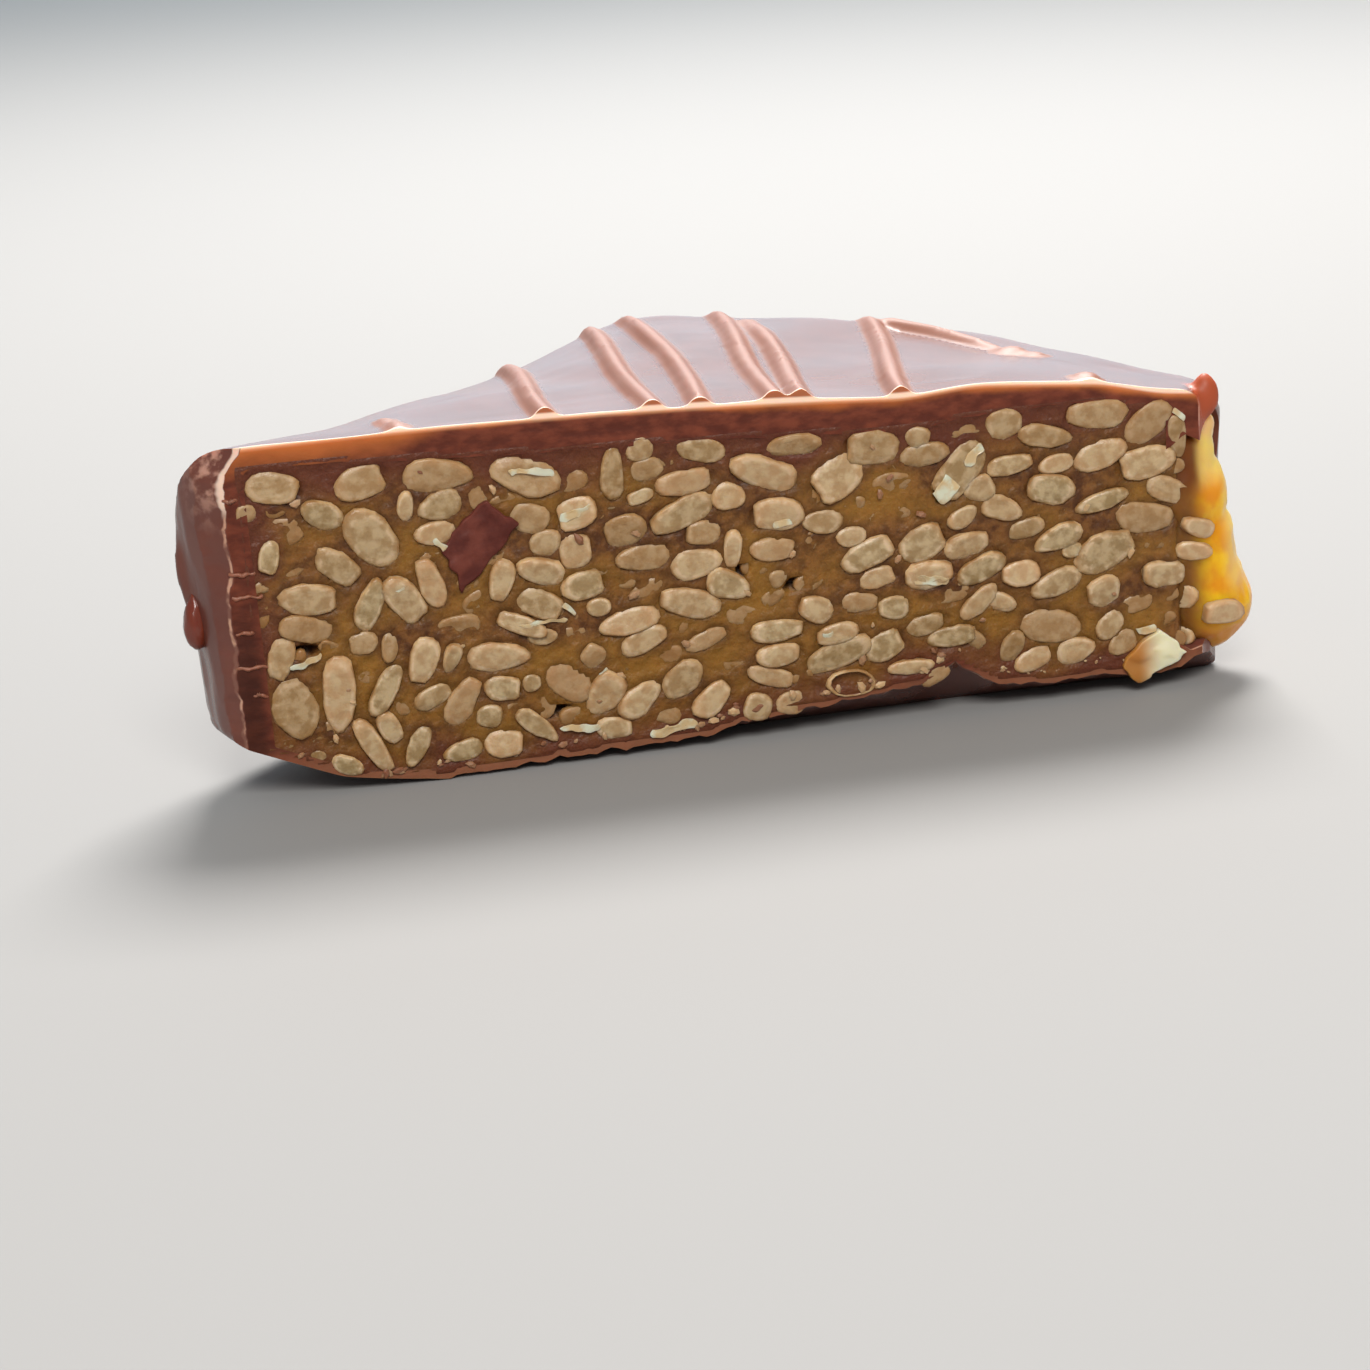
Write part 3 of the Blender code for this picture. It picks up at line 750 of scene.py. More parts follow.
# The sesame seeds in the cut. Hulled seeds, each about 3 mm long, lie every way in the caramel and
# show a flat, pale side where the knife met them. The largest are put where the photo has them,
# and the rest fall into the room that is left, big ones first.
FILLING_LEFT = -25.0
FILLING_RIGHT = 26.0
LARGE_SEEDS = (
    (-15.65, 10.8, 2.9, 1.25, -73),
    (-9.5, 12.2, 1.8, 1.4, 5),
    (-23.2, 16.7, 3.2, 1.65, -12),
    (-24.85, 15.5, 1.3, 1.0, -5),
    (-18.7, 16.5, 3.0, 1.75, 12),
    (-21.0, 15.05, 2.3, 1.4, -27),
    (-14.8, 16.4, 3.7, 1.7, -4),
    (-14.8, 14.8, 2.3, 1.5, 10),
    (-23.9, 13.0, 2.0, 1.1, 76),
    (-18.5, 13.5, 3.5, 2.3, -56),
    (-20.3, 12.1, 2.9, 1.5, -42),
    (-21.9, 10.6, 3.5, 1.6, -6),
    (-22.3, 9.05, 3.0, 1.4, -14),
    (-18.9, 10.0, 3.0, 1.25, 66),
    (-17.0, 9.9, 3.2, 1.7, -55),
    (-15.2, 13.4, 2.2, 1.2, 3),
    (-19.5, 8.0, 1.8, 1.2, 5),
    (-23.8, 7.6, 2.4, 1.4, 72),
    (-23.3, 4.95, 3.3, 2.3, -75),
    (-20.95, 5.3, 4.2, 1.7, 86),
    (-18.5, 5.3, 3.1, 1.2, 58),
    (-16.4, 6.6, 2.7, 1.45, 70),
    (-16.0, 4.65, 2.2, 1.1, 20),
    (-14.5, 4.2, 3.0, 1.4, 55),
    (-12.4, 6.35, 3.4, 1.5, -4),
    (-18.45, 3.2, 1.9, 1.1, -62),
    (-19.4, 2.35, 3.5, 1.1, -63),
    (-17.1, 2.0, 2.5, 1.0, 62),
    (-20.9, 1.5, 1.8, 1.0, -28),
    (-14.7, 1.5, 2.1, 1.1, 10),
    (-22.4, 2.15, 1.0, 0.7, -10),
    (-13.2, 3.2, 1.5, 1.2, -5),
    (-12.25, 4.6, 2.2, 1.3, -10),
    (-12.4, 1.6, 2.4, 1.45, -6),
    (-10.3, 15.9, 3.9, 1.9, -20),
    (-10.2, 13.6, 2.2, 1.6, -15),
    (-7.8, 13.6, 2.4, 1.7, 15),
    (-5.65, 15.5, 2.9, 1.2, 85),
    (-4.1, 16.6, 1.5, 1.3, 0),
    (-3.75, 15.5, 1.9, 1.2, 15),
    (-0.85, 16.2, 2.8, 1.2, -12),
    (-1.7, 14.6, 3.4, 1.3, 5),
    (-2.1, 12.9, 3.9, 1.5, 20),
    (-5.3, 12.3, 2.6, 1.7, 8),
    (-7.8, 11.6, 2.0, 1.8, 0),
    (-9.85, 10.7, 2.6, 1.4, -18),
    (-11.95, 10.4, 2.4, 1.3, 72),
    (-7.5, 9.7, 2.6, 1.5, 8),
    (-4.3, 10.8, 3.0, 1.4, 0),
    (-9.9, 8.9, 2.9, 1.5, -28),
    (-11.2, 8.0, 3.1, 0.95, -24),
    (-10.0, 7.2, 1.6, 0.9, -5),
    (-6.9, 8.4, 1.3, 1.0, 0),
    (-5.35, 7.4, 3.4, 1.35, 10),
    (-2.05, 8.05, 3.5, 1.55, -14),
    (-4.6, 6.3, 2.7, 1.25, 20),
    (-7.4, 5.8, 1.5, 1.3, -40),
    (-8.8, 4.5, 2.7, 1.7, -38),
    (-6.9, 3.6, 2.5, 1.8, 50),
    (-5.0, 3.1, 2.6, 1.5, 35),
    (-6.5, 1.7, 2.0, 1.2, -5),
    (-2.7, 3.9, 2.5, 1.65, 38),
    (-1.1, 2.65, 2.5, 1.45, 42),
    (-1.15, 5.95, 2.5, 0.95, 18),
    (-10.7, 2.4, 2.8, 1.0, -40),
    (-10.75, 4.75, 1.0, 0.9, 0),
    (-1.5, 10.15, 2.8, 1.6, 8),
    (-1.1, 11.75, 2.2, 1.3, 0),
    (0.5, 10.6, 2.3, 1.0, 85),
    (0.5, 13.55, 1.9, 1.5, -15),
    (0.1, 8.8, 2.4, 1.5, -25),
    (1.25, 1.9, 1.75, 1.5, -20),
    (4.1, 15.9, 3.0, 1.2, 2),
    (2.5, 14.6, 4.1, 1.6, -22),
    (8.3, 15.3, 3.25, 1.9, -5),
    (6.3, 13.85, 3.2, 2.2, 30),
    (2.95, 12.3, 3.1, 1.7, -5),
    (5.4, 11.6, 2.2, 1.2, -3),
    (2.85, 10.4, 2.75, 1.2, -5),
    (2.9, 8.8, 1.0, 0.9, 20),
    (4.8, 6.9, 2.0, 1.4, -22),
    (7.0, 10.6, 1.7, 1.1, 5),
    (7.95, 9.6, 3.3, 1.45, 22),
    (8.4, 8.2, 2.3, 1.1, 10),
    (7.3, 6.95, 2.2, 1.1, -8),
    (9.1, 6.4, 1.75, 1.3, -5),
    (2.7, 5.95, 3.0, 1.2, 0),
    (2.8, 4.6, 2.7, 1.2, 0),
    (5.9, 5.4, 2.4, 1.1, 8),
    (5.9, 4.2, 3.9, 1.45, 18),
    (2.3, 3.4, 3.1, 1.0, -18),
    (3.15, 1.85, 1.8, 1.3, 5),
    (8.6, 4.4, 2.5, 1.5, 25),
    (9.9, 3.0, 2.6, 0.8, 0),
    (11.3, 2.45, 2.1, 1.0, 25),
    (11.0, 5.3, 2.4, 1.1, 10),
    (12.4, 4.45, 3.0, 1.1, 3),
    (11.2, 8.0, 2.9, 1.5, 5),
    (11.0, 9.8, 3.0, 1.9, 25),
    (11.2, 14.6, 2.8, 1.2, 5),
    (10.9, 15.6, 1.45, 1.2, -20),
    (13.1, 13.4, 4.0, 1.9, 48),
    (14.2, 12.4, 1.7, 1.4, 15),
    (13.4, 9.4, 2.6, 1.4, 12),
    (14.1, 8.0, 3.0, 1.3, 25),
    (13.9, 6.2, 2.6, 1.1, 38),
    (13.6, 4.1, 1.3, 0.9, -50),
    (15.75, 15.8, 2.0, 1.6, 10),
    (20.85, 15.75, 3.6, 1.5, -5),
    (18.0, 14.85, 3.0, 1.2, -12),
    (23.8, 15.0, 2.9, 1.8, 35),
    (21.0, 13.5, 3.1, 1.5, 15),
    (16.0, 13.55, 2.7, 1.05, 8),
    (18.5, 13.3, 2.0, 1.0, 8),
    (23.45, 12.8, 3.5, 1.75, 8),
    (18.05, 11.95, 3.0, 1.6, -10),
    (24.9, 11.1, 2.9, 1.3, -25),
    (21.0, 10.95, 3.1, 0.95, 13),
    (23.5, 9.75, 3.5, 1.7, -8),
    (15.4, 11.2, 2.3, 1.3, -20),
    (16.7, 9.95, 2.2, 1.0, 15),
    (18.45, 9.2, 2.7, 1.3, 18),
    (16.25, 7.5, 2.3, 1.4, 0),
    (21.15, 8.15, 3.6, 2.0, 20),
    (19.2, 8.45, 1.2, 0.8, 5),
    (18.25, 6.7, 2.9, 1.4, 18),
    (20.9, 5.9, 2.0, 1.7, 5),
    (24.3, 6.5, 2.8, 1.45, -5),
    (17.85, 4.35, 3.5, 1.85, -8),
    (21.2, 3.95, 1.9, 1.3, 45),
    (19.2, 2.8, 2.3, 1.4, 12),
    (15.6, 3.4, 1.9, 1.2, 60),
    (16.8, 2.6, 2.3, 1.2, 22),
    (21.9, 2.9, 1.8, 1.2, 25),
    (15.2, 6.0, 1.5, 1.0, -20),
)
SUNKEN_SEEDS = (
    (-15.5, 11.3, 2.8, 1.7, 85),
    (-24.3, 3.4, 1.9, 1.3, -30),
    (-9.7, 12.15, 1.9, 1.4, -5),
    (-5.3, 9.6, 1.2, 0.9, 0),
    (-8.6, 6.9, 2.4, 1.3, 10),
    (-14.4, 8.2, 2.6, 1.4, 0),
    (-13.2, 9.5, 2.0, 1.2, 30),
    (-19.3, 14.9, 2.2, 1.3, 30),
    (-22.9, 14.3, 2.6, 1.6, 10),
    (-6.9, 10.6, 2.0, 1.1, 0),
    (-8.2, 15.4, 2.6, 1.4, 0),
    (-3.4, 5.2, 2.4, 1.3, 0),
    (13.6, 15.8, 2.6, 1.1, 5),
    (9.0, 11.55, 3.0, 1.1, 0),
    (9.4, 13.2, 2.4, 1.4, 10),
    (14.1, 4.9, 2.4, 1.1, 55),
    (24.0, 8.4, 2.1, 1.1, 0),
    (15.6, 5.1, 1.6, 1.2, 0),
    (18.4, 10.6, 2.2, 1.2, 0),
    (22.7, 5.0, 2.2, 1.1, 10),
    (20.0, 12.4, 1.8, 1.0, 0),
    (12.3, 6.8, 2.2, 1.1, 10),
    (4.6, 8.4, 1.8, 1.1, 20),
    (24.2, 3.9, 1.7, 0.8, 15),
    (6.6, 8.8, 1.4, 0.9, 0),
    (0.4, 4.6, 1.8, 1.2, 30),
    (0.9, 7.0, 2.0, 1.2, -10),
)
HUSK = (6.55, 2.55, 2.65, 1.5, -8)
PIT_PLACES = ((-9.4, 2.9, 0.9, 0.3), (-22.5, 7.9, 0.8, 0.35), (0.9, 9.4, 0.3, 0.4), (3.7, 8.3, 0.5, 0.3))
ROUNDS_OF_SEEDS = ((0.8, 3500), (0.6, 3500))
dice = random.Random(11)


def reach_of(seed, direction):
    """How far a seed reaches in a direction: between the two radii that an ellipse may be said to have."""
    along = direction - math.radians(seed[4])
    a, b = seed[2] / 2.0, seed[3] / 2.0
    c, s = math.cos(along), math.sin(along)
    return 0.5 * math.hypot(a * c, b * s) + 0.5 * a * b / math.hypot(b * c, a * s)


FARTHEST_TOUCH = 4.5


def has_room(seed, others, gap):
    """Whether the seed keeps the gap to every other one."""
    for other in others:
        dx, dz = seed[0] - other[0], seed[1] - other[1]
        distance = math.hypot(dx, dz)
        if distance > FARTHEST_TOUCH:
            continue
        direction = math.atan2(dz, dx)
        if distance < reach_of(seed, direction) + reach_of(other, direction) + gap:
            return False
    return True


def filling_top(x):
    """Where the caramel ends under the chocolate of the top, at the cut."""
    return top_height(x, 0.0) - top_skin(x)


def filling_base(x):
    """Where the caramel starts over the chocolate of the base, at the cut."""
    return max(between(x, CHIPPED_EDGE), base_height(x)) + BASE_SKIN


def on_the_face(seed, slack):
    """Whether the seed lies within the filling, give or take the slack."""
    x, z = seed[:2]
    sides = [(math.cos(a), math.sin(a), reach_of(seed, a)) for a in (k * math.pi / 4 for k in range(8))]
    for c, s, reach in sides:
        px, pz = x + c * reach, z + s * reach
        if not FILLING_LEFT - slack < px < FILLING_RIGHT + slack:
            return False
        if not filling_base(px) - slack < pz < filling_top(px) + slack:
            return False
    return True


def any_tilt(x, z):
    """Most seeds lie flat; low on the left, many stand."""
    standing = 0.6 if x < -13.0 and z < 9.0 else 0.14
    if dice.random() < standing:
        return dice.uniform(55.0, 110.0)
    return dice.gauss(6.0, 20.0)


def scattered_seeds(placed_seeds, rounds, gap, allow):
    """Drops seeds at random and keeps each one that finds room."""
    kept = []
    for share, tries in rounds:
        for _ in range(tries):
            x = dice.uniform(FILLING_LEFT, FILLING_RIGHT)
            z = dice.uniform(0.5, 17.0)
            length = dice.uniform(2.7, 3.3) * share
            width = length * dice.uniform(0.45, 0.62)
            seed = (x, z, length, width, any_tilt(x, z))
            if on_the_face(seed, allow) and has_room(seed, placed_seeds + kept, gap):
                kept.append(seed)
    return kept


SEED_FULLNESS = 0.9


def seed_outline(sides, point, cut_end):
    """A full oblong drop: narrower at one end, and squared off where a knife took the tip."""
    outline = []
    for k in range(sides):
        a = 2.0 * math.pi * (k + 0.5) / sides
        c, s = (math.copysign(abs(v) ** SEED_FULLNESS, v) for v in (math.cos(a), math.sin(a)))
        outline.append((min(c, cut_end), s * (1.0 - point * c)))
    return outline


def model_seed(name, point, cut_end, levels, sides=16):
    """A seed of unit half-length and half-width, its flat side to -Y, raised ring by ring from its back."""
    outline = seed_outline(sides, point, cut_end)
    rings = [[(u * size, depth, w * size) for u, w in outline] for size, depth, _ in levels]
    seed = raise_rings(name, rings, 1.0)
    faces_outwards()
    shares = [rim_level for _, _, rim_level in levels for _ in outline]
    seed.data.attributes.new("rim", "FLOAT", "POINT").data.foreach_set("value", shares)
    return seed


def object_from(mesh, name):
    """Ends the building of a mesh, and makes an object of it."""
    data = bpy.data.meshes.new(name)
    mesh.to_mesh(data)
    mesh.free()
    return new_object(name, data)


WHOLE = ((0.55, 0.8, 0.0), (1.0, 0.25, 0.6), (0.97, -0.04, 1.0), (0.88, -0.12, 0.6), (0.5, -0.13, 0.0))
OPEN = (
    (0.6, 0.9, 0.0),
    (1.0, 0.5, 1.0),
    (1.04, -0.1, 1.0),
    (0.94, -0.3, 1.0),
    (0.84, -0.1, 0.9),
    (0.78, 0.5, 0.0),
)


def scatter_copies(name, models, seeds, front, look):
    """One mesh with a copy of a model for each seed, at its own size, tilt, depth and turn to the side."""
    mesh = bmesh.new()
    rim_layer = mesh.verts.layers.float.new("rim")
    tint_layer = mesh.verts.layers.float.new("tint")
    sunk_layer = mesh.verts.layers.float.new("sunk")
    for x, z, length, width, tilt in seeds:
        model = dice.choice(models)
        tint, sunk = look(x, z)
        base, outward = front(x, z)
        depth = base + 0.2 * sunk + dice.uniform(-0.05, 0.04)
        roll = Matrix.Rotation(outward + math.radians(dice.gauss(0.0, 3.0)), 4, "Z")
        roll = roll @ Matrix.Rotation(math.radians(dice.gauss(0.0, 5.0)), 4, "X")
        turn = Matrix.Rotation(math.radians(-tilt), 4, "Y")
        if dice.random() < 0.5:
            turn = turn @ Matrix.Rotation(math.pi, 4, "Y")
        size = Matrix.Diagonal((length / 2.0, 1.0, width / 2.0, 1.0))
        shape = roll @ turn @ size
        made = []
        for v in model.data.vertices:
            at = shape @ v.co
            key = Vector((x * 3.0, at.x * 1.3, at.z * 1.3))
            at *= 1.0 + 0.13 * noise.noise(key)
            at.y += 0.09 * noise.noise(key * 1.6)
            made.append(mesh.verts.new(placed(x, depth, z) + at * MM))
        for vertex, source in zip(made, model.data.attributes["rim"].data):
            vertex[rim_layer] = source.value
            vertex[tint_layer] = tint
            vertex[sunk_layer] = sunk
        for face in model.data.polygons:
            mesh.faces.new([made[i] for i in face.vertices]).smooth = True
    return object_from(mesh, name)


def seed_look(x, z):
    """A tint, and how deep in the caramel: shallow for most, and for every seed of the top row."""
    top_row = filling_top(x) - z < 1.8
    shallow = dice.random() < 0.85 or top_row
    tint = dice.random() * (0.6 if top_row else 1.0)
    sunk = dice.uniform(0.0, 0.3) if shallow else dice.uniform(0.4, 0.65)
    return tint, sunk + (0.32 if top_row else 0.0)


def seed_material():
    """Pale and a little see-through, browner along the rim, with painted highlights in patches on it,
    stained by caramel where sunk in it.
    """
    material, tree, shader = plain_material("sesame_seed", (0.5, 0.42, 0.3), 0.42)
    where = millimetres(tree)
    mottle = ramp(tree, speckle(tree, where, 1.5, 4.0), 0.38, 0.62)
    body = mixed(tree, own(tree, "tint"), (0.26, 0.17, 0.065), (0.56, 0.335, 0.17))
    toward_rim = own(tree, "rim")
    heart = ramp(tree, toward_rim, 0.0, 0.6, 0.35, 0.0)
    body = mixed(tree, heart, body, (0.27, 0.2, 0.1))
    body = mixed(tree, times(tree, mottle, 0.6), body, (0.58, 0.45, 0.27))
    clear = maths(tree, "SUBTRACT", 1.0, own(tree, "sunk"))
    rim = times(tree, ramp(tree, toward_rim, 0.35, 1.0), clear)
    patch = ramp(tree, speckle(tree, where, 0.8, 2.0), 0.46, 0.58)
    shell = times(tree, ramp(tree, toward_rim, 0.2, 0.4), ramp(tree, toward_rim, 0.4, 0.7, 1.0, 0.0))
    shell = times(tree, shell, clear, ramp(tree, mottle, 0.2, 0.9, 0.1, 0.7))
    body = mixed(tree, shell, body, (0.68, 0.5, 0.33))
    body = mixed(tree, times(tree, rim, 0.85), body, (0.31, 0.145, 0.045))
    # Painted highlight: bright patches on the rims of the seeds.
    body = mixed(tree, times(tree, rim, patch, 0.5), body, (0.86, 0.6, 0.33))
    body = mixed(tree, times(tree, own(tree, "sunk"), 0.85), body, (0.25, 0.105, 0.02))
    tree.links.new(body, shader.inputs["Base Color"])
    see_through(shader, 0.35, 0.8, 0.5, 0.25)
    shader.inputs["Specular IOR Level"].default_value = 0.35
    shader.inputs["Coat Weight"].default_value = 0.2
    shader.inputs["Coat Roughness"].default_value = 0.15
    bump(tree, shader, speckle(tree, where, 1.3, 5.0), 0.22, 0.7)
    return material


seed_models = [
    model_seed("seed_drop", 0.22, 1.0, WHOLE),
    model_seed("seed_oval", 0.05, 1.0, WHOLE),
    model_seed("seed_cut", 0.1, 0.72, WHOLE),
    model_seed("seed_slim", 0.16, 0.88, WHOLE),
]
husk_model = model_seed("seed_husk", 0.1, 1.0, OPEN)
UNDER_THE_FLAKE = (-12.6, 12.5, 4.0, 3.0, 40)
CLEAR_OF_BASE = 0.9
SWELL = (1.05, 1.07)
pits = [(x, z, w * 1.6, h * 1.6, 0) for x, z, w, h in PIT_PLACES]
keep_clear = [HUSK, UNDER_THE_FLAKE, *pits]
small_seeds = scattered_seeds([*LARGE_SEEDS, *SUNKEN_SEEDS, *keep_clear], ROUNDS_OF_SEEDS, 0.04, 0.06)
small_seeds = [seed for seed in small_seeds if seed[1] - filling_base(seed[0]) > CLEAR_OF_BASE]
swollen = [(x, z, SWELL[0] * length, SWELL[1] * width, tilt) for x, z, length, width, tilt in LARGE_SEEDS]
face_seeds = [*swollen, *small_seeds[::2]]
cut_seeds = scatter_copies("cut_seeds", seed_models, face_seeds, lambda x, z: (0.03, 0.0), seed_look)
husks = scatter_copies("open_husk", [husk_model], [HUSK], lambda x, z: (0.05, 0.0), lambda x, z: (0.6, 0.2))
covered = [(x, z, l * 0.66, w * 0.66, t) for x, z, l, w, t in face_seeds]
others = [*SUNKEN_SEEDS, *small_seeds[1::2]]
sunken = [*others, *scattered_seeds([*covered, *others], ((0.75, 900), (0.55, 900)), -0.05, 0.1)]
deep_seeds = scatter_copies(
    "deep_seeds", seed_models, sunken, lambda x, z: (0.12, 0.0), lambda x, z: (0.5, dice.uniform(0.7, 1.0))
)
sesame = seed_material()
for obj in (cut_seeds, husks, deep_seeds):
    obj.data.materials.append(sesame)
    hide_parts("sesame_filling")
    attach(obj, "root")


# The caramel that holds the seeds. It was poured hot round them, so it climbs each seed's side a
# little and sinks between them, and the knife dragged chocolate over it along the coat.
OVERLAP = 0.5
OVER_THE_COAT = 0.035
CELL = 3.0
PIT_DEPTH = 0.9


def nearest_seed(x, z, cells):
    """How far it is to the edge of the nearest seed; less than nothing inside it."""
    best = 3.0 * CELL
    for seed in cells.get((int(x // CELL), int(z // CELL)), ()):
        dx, dz = x - seed[0], z - seed[1]
        best = min(best, math.hypot(dx, dz) - reach_of(seed, math.atan2(dz, dx)))
    return best


def cells_of(seeds):
    """The seeds sorted by the square they lie in, each also in the squares round it."""
    cells = {}
    for seed in seeds:
        i, k = int(seed[0] // CELL), int(seed[1] // CELL)
        for di in (-1, 0, 1):
            for dk in (-1, 0, 1):
                cells.setdefault((i + di, k + dk), []).append(seed)
    return cells


def ragged_left(z):
    """Where the filling starts at the left, under the smear of the knife."""
    sway = FILLING_LEFT + 0.5 * waver(2.0, z * 0.6, 3.0)
    return sway + 0.2 * waver(9.0, z * 2.2, 3.0)


def pit_depth(x, z):
    """How deep the small holes in the caramel are here."""
    depth = 0.0
    for px, pz, w, h in PIT_PLACES:
        share = math.hypot((x - px) / w, (z - pz) / h)
        depth = max(depth, PIT_DEPTH * (1.0 - eased(0.5, 1.2, share)))
    return depth


def caramel_relief(x, z, cells):
    """How far the caramel stands back from the knife's plane."""
    edge = nearest_seed(x, z, cells)
    dip = 0.02 + 0.12 * eased(0.0, 0.5, edge) + 0.25 * eased(-0.06, -0.3, edge)
    ripple = 0.09 * waver(x * 1.5, z * 1.5, 1.0)
    dip += ripple + 0.06 * waver(x * 4.0, z * 4.0, 7.0)
    to_coat = min(filling_top(x) - z, x - ragged_left(z), z - filling_base(x))
    inside = eased(-0.25, 0.4, to_coat)
    return max(dip, 0.0) * inside - OVER_THE_COAT * (1.0 - inside) + pit_depth(x, z)


def caramel_body():
    """The block of caramel, a little larger than the hollow, its front dished round each seed."""
    slim = rounded_outline(OUTLINE_CORNERS, INNER_SPACING)
    inset, lift = WALL - OVERLAP, BASE_SKIN - OVERLAP
    rings = body_rings(slim, inset, lift, lambda x: top_skin(x) - OVERLAP, INNER_SHOULDER, INNER_HEEL, 5)
    body = grow_rings("caramel", rings, lambda x, y, z: 0.0)
    take_away(body, edge_wedge(BASE_SKIN - OVERLAP, 0.1))
    slice_front(body)
    apply_modifier(body, "REMESH", mode="VOXEL", voxel_size=0.27 * MM)
    cells = cells_of(face_seeds)
    brown = body.data.attributes.new("brown", "FLOAT", "POINT")
    gold = body.data.attributes.new("gold", "FLOAT", "POINT")
    gap_shade = body.data.attributes.new("gap_shade", "FLOAT", "POINT")
    for index, vertex in enumerate(body.data.vertices):
        x, y, z = vertex.co / MM - CUT_MIDDLE
        if y < 1.2:
            vertex.co.y += caramel_relief(x, z, cells) * (1.0 - eased(0.3, 1.2, y)) * MM
            beside_seed = 1.0 - eased(0.0, 0.35, nearest_seed(x, z, cells))
            # Painted shade: darkest beside the seeds and in the pits.
            gap_shade.data[index].value = min(0.4 * beside_seed + 2.5 * pit_depth(x, z), 1.0)
        near_coat = min(filling_top(x) - z, x - ragged_left(z) + 0.3, z - filling_base(x) + 0.8)
        patch = waver(x * 0.35, z * 0.4, 2.0)
        brown.data[index].value = 1.0 - eased(0.2, 2.6, near_coat + 1.3 * patch)
        low = (1.0 - eased(4.0, 13.0, z)) * (1.0 - eased(23.0, 25.5, x))
        cloud = 1.3 * waver(x * 0.28, z * 0.45, 4.0)
        gold.data[index].value = min(max(0.35 + 0.4 * low + cloud, 0.0), 1.0)
    make_active(body)
    bpy.ops.object.shade_smooth()
    return body


def caramel_material():
    """Brown and clouded, gold in patches, with painted shade beside the seeds and in the pits, and brown
    with chocolate by the coat.
    """
    material, tree, shader = plain_material("caramel", (0.3, 0.15, 0.05), 0.38)
    where = millimetres(tree)
    stain = ramp(tree, speckle(tree, where, 1.6, 8.0), 0.38, 0.62)
    colour = mixed(tree, stain, (0.095, 0.033, 0.009), (0.2, 0.08, 0.02))
    colour = mixed(tree, times(tree, own(tree, "gold"), 0.65), colour, (0.31, 0.145, 0.018))
    # Painted shade beside the seeds and in the pits.
    colour = mixed(tree, times(tree, own(tree, "gap_shade"), 0.97), colour, (0.04, 0.012, 0.004))
    colour = mixed(tree, times(tree, own(tree, "brown"), 0.95), colour, (0.11, 0.027, 0.013))
    tree.links.new(colour, shader.inputs["Base Color"])
    see_through(shader, 0.4, 1.2, 0.6, 0.2)
    shader.inputs["Specular IOR Level"].default_value = 0.25
    bump(tree, shader, speckle(tree, where, 3.0, 8.0), 0.16, 0.8)
    return material


caramel = caramel_body()
caramel.data.materials.append(caramel_material())
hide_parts("sesame_filling")
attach(caramel, "root")

# The caramel that bulges from the right end, where the coat broke off. It is clear amber with no
# crumb in it, ran out warm and set in lobes, with seeds lying in its skin.
BULGES = (
    ((26.0, 2.7, 10.2), (2.4, 2.9, 4.0)),
    ((26.5, 2.8, 6.9), (2.9, 3.0, 3.2)),
    ((27.2, 2.6, 4.2), (3.0, 2.8, 2.9)),
)
SMALL_LOBES = (
    ((27.7, 1.6, 3.4), (1.9, 1.5, 0.95)),
    ((28.4, 2.4, 5.3), (1.4, 1.8, 1.5)),
    ((27.0, 1.2, 3.2), (1.8, 1.2, 1.2)),
    ((26.3, 2.75, 8.7), (2.25, 2.8, 3.2)),
    ((27.0, 1.7, 12.9), (0.9, 1.4, 2.1)),
    ((27.3, 1.7, 14.1), (0.75, 1.0, 1.0)),
    ((25.8, 1.45, 12.4), (1.1, 1.3, 2.0)),
    ((25.6, 1.3, 7.6), (1.0, 1.15, 5.0)),
    ((27.4, 2.0, 10.2), (1.3, 1.7, 2.6)),
    ((27.6, 2.2, 8.0), (1.6, 1.8, 1.8)),
)


def caramel_bulge():
    """The lobes, melted into one and smoothed, with small lumps on their skin."""
    lobes = [blob("lobe", centre, radii) for centre, radii in (*BULGES, *SMALL_LOBES)]
    bulge = joined("caramel_bulge", *lobes)
    apply_modifier(bulge, "REMESH", mode="VOXEL", voxel_size=0.2 * MM)
    apply_modifier(bulge, "SMOOTH", factor=0.5, iterations=14)
    for vertex in bulge.data.vertices:
        at = vertex.co / MM
        lump = 0.22 * noise.noise(at * 0.7) + 0.06 * noise.noise(at * 2.3)
        vertex.co += vertex.normal * min(lump, 0.05) * MM
    make_active(bulge)
    bpy.ops.object.shade_smooth()
    return bulge


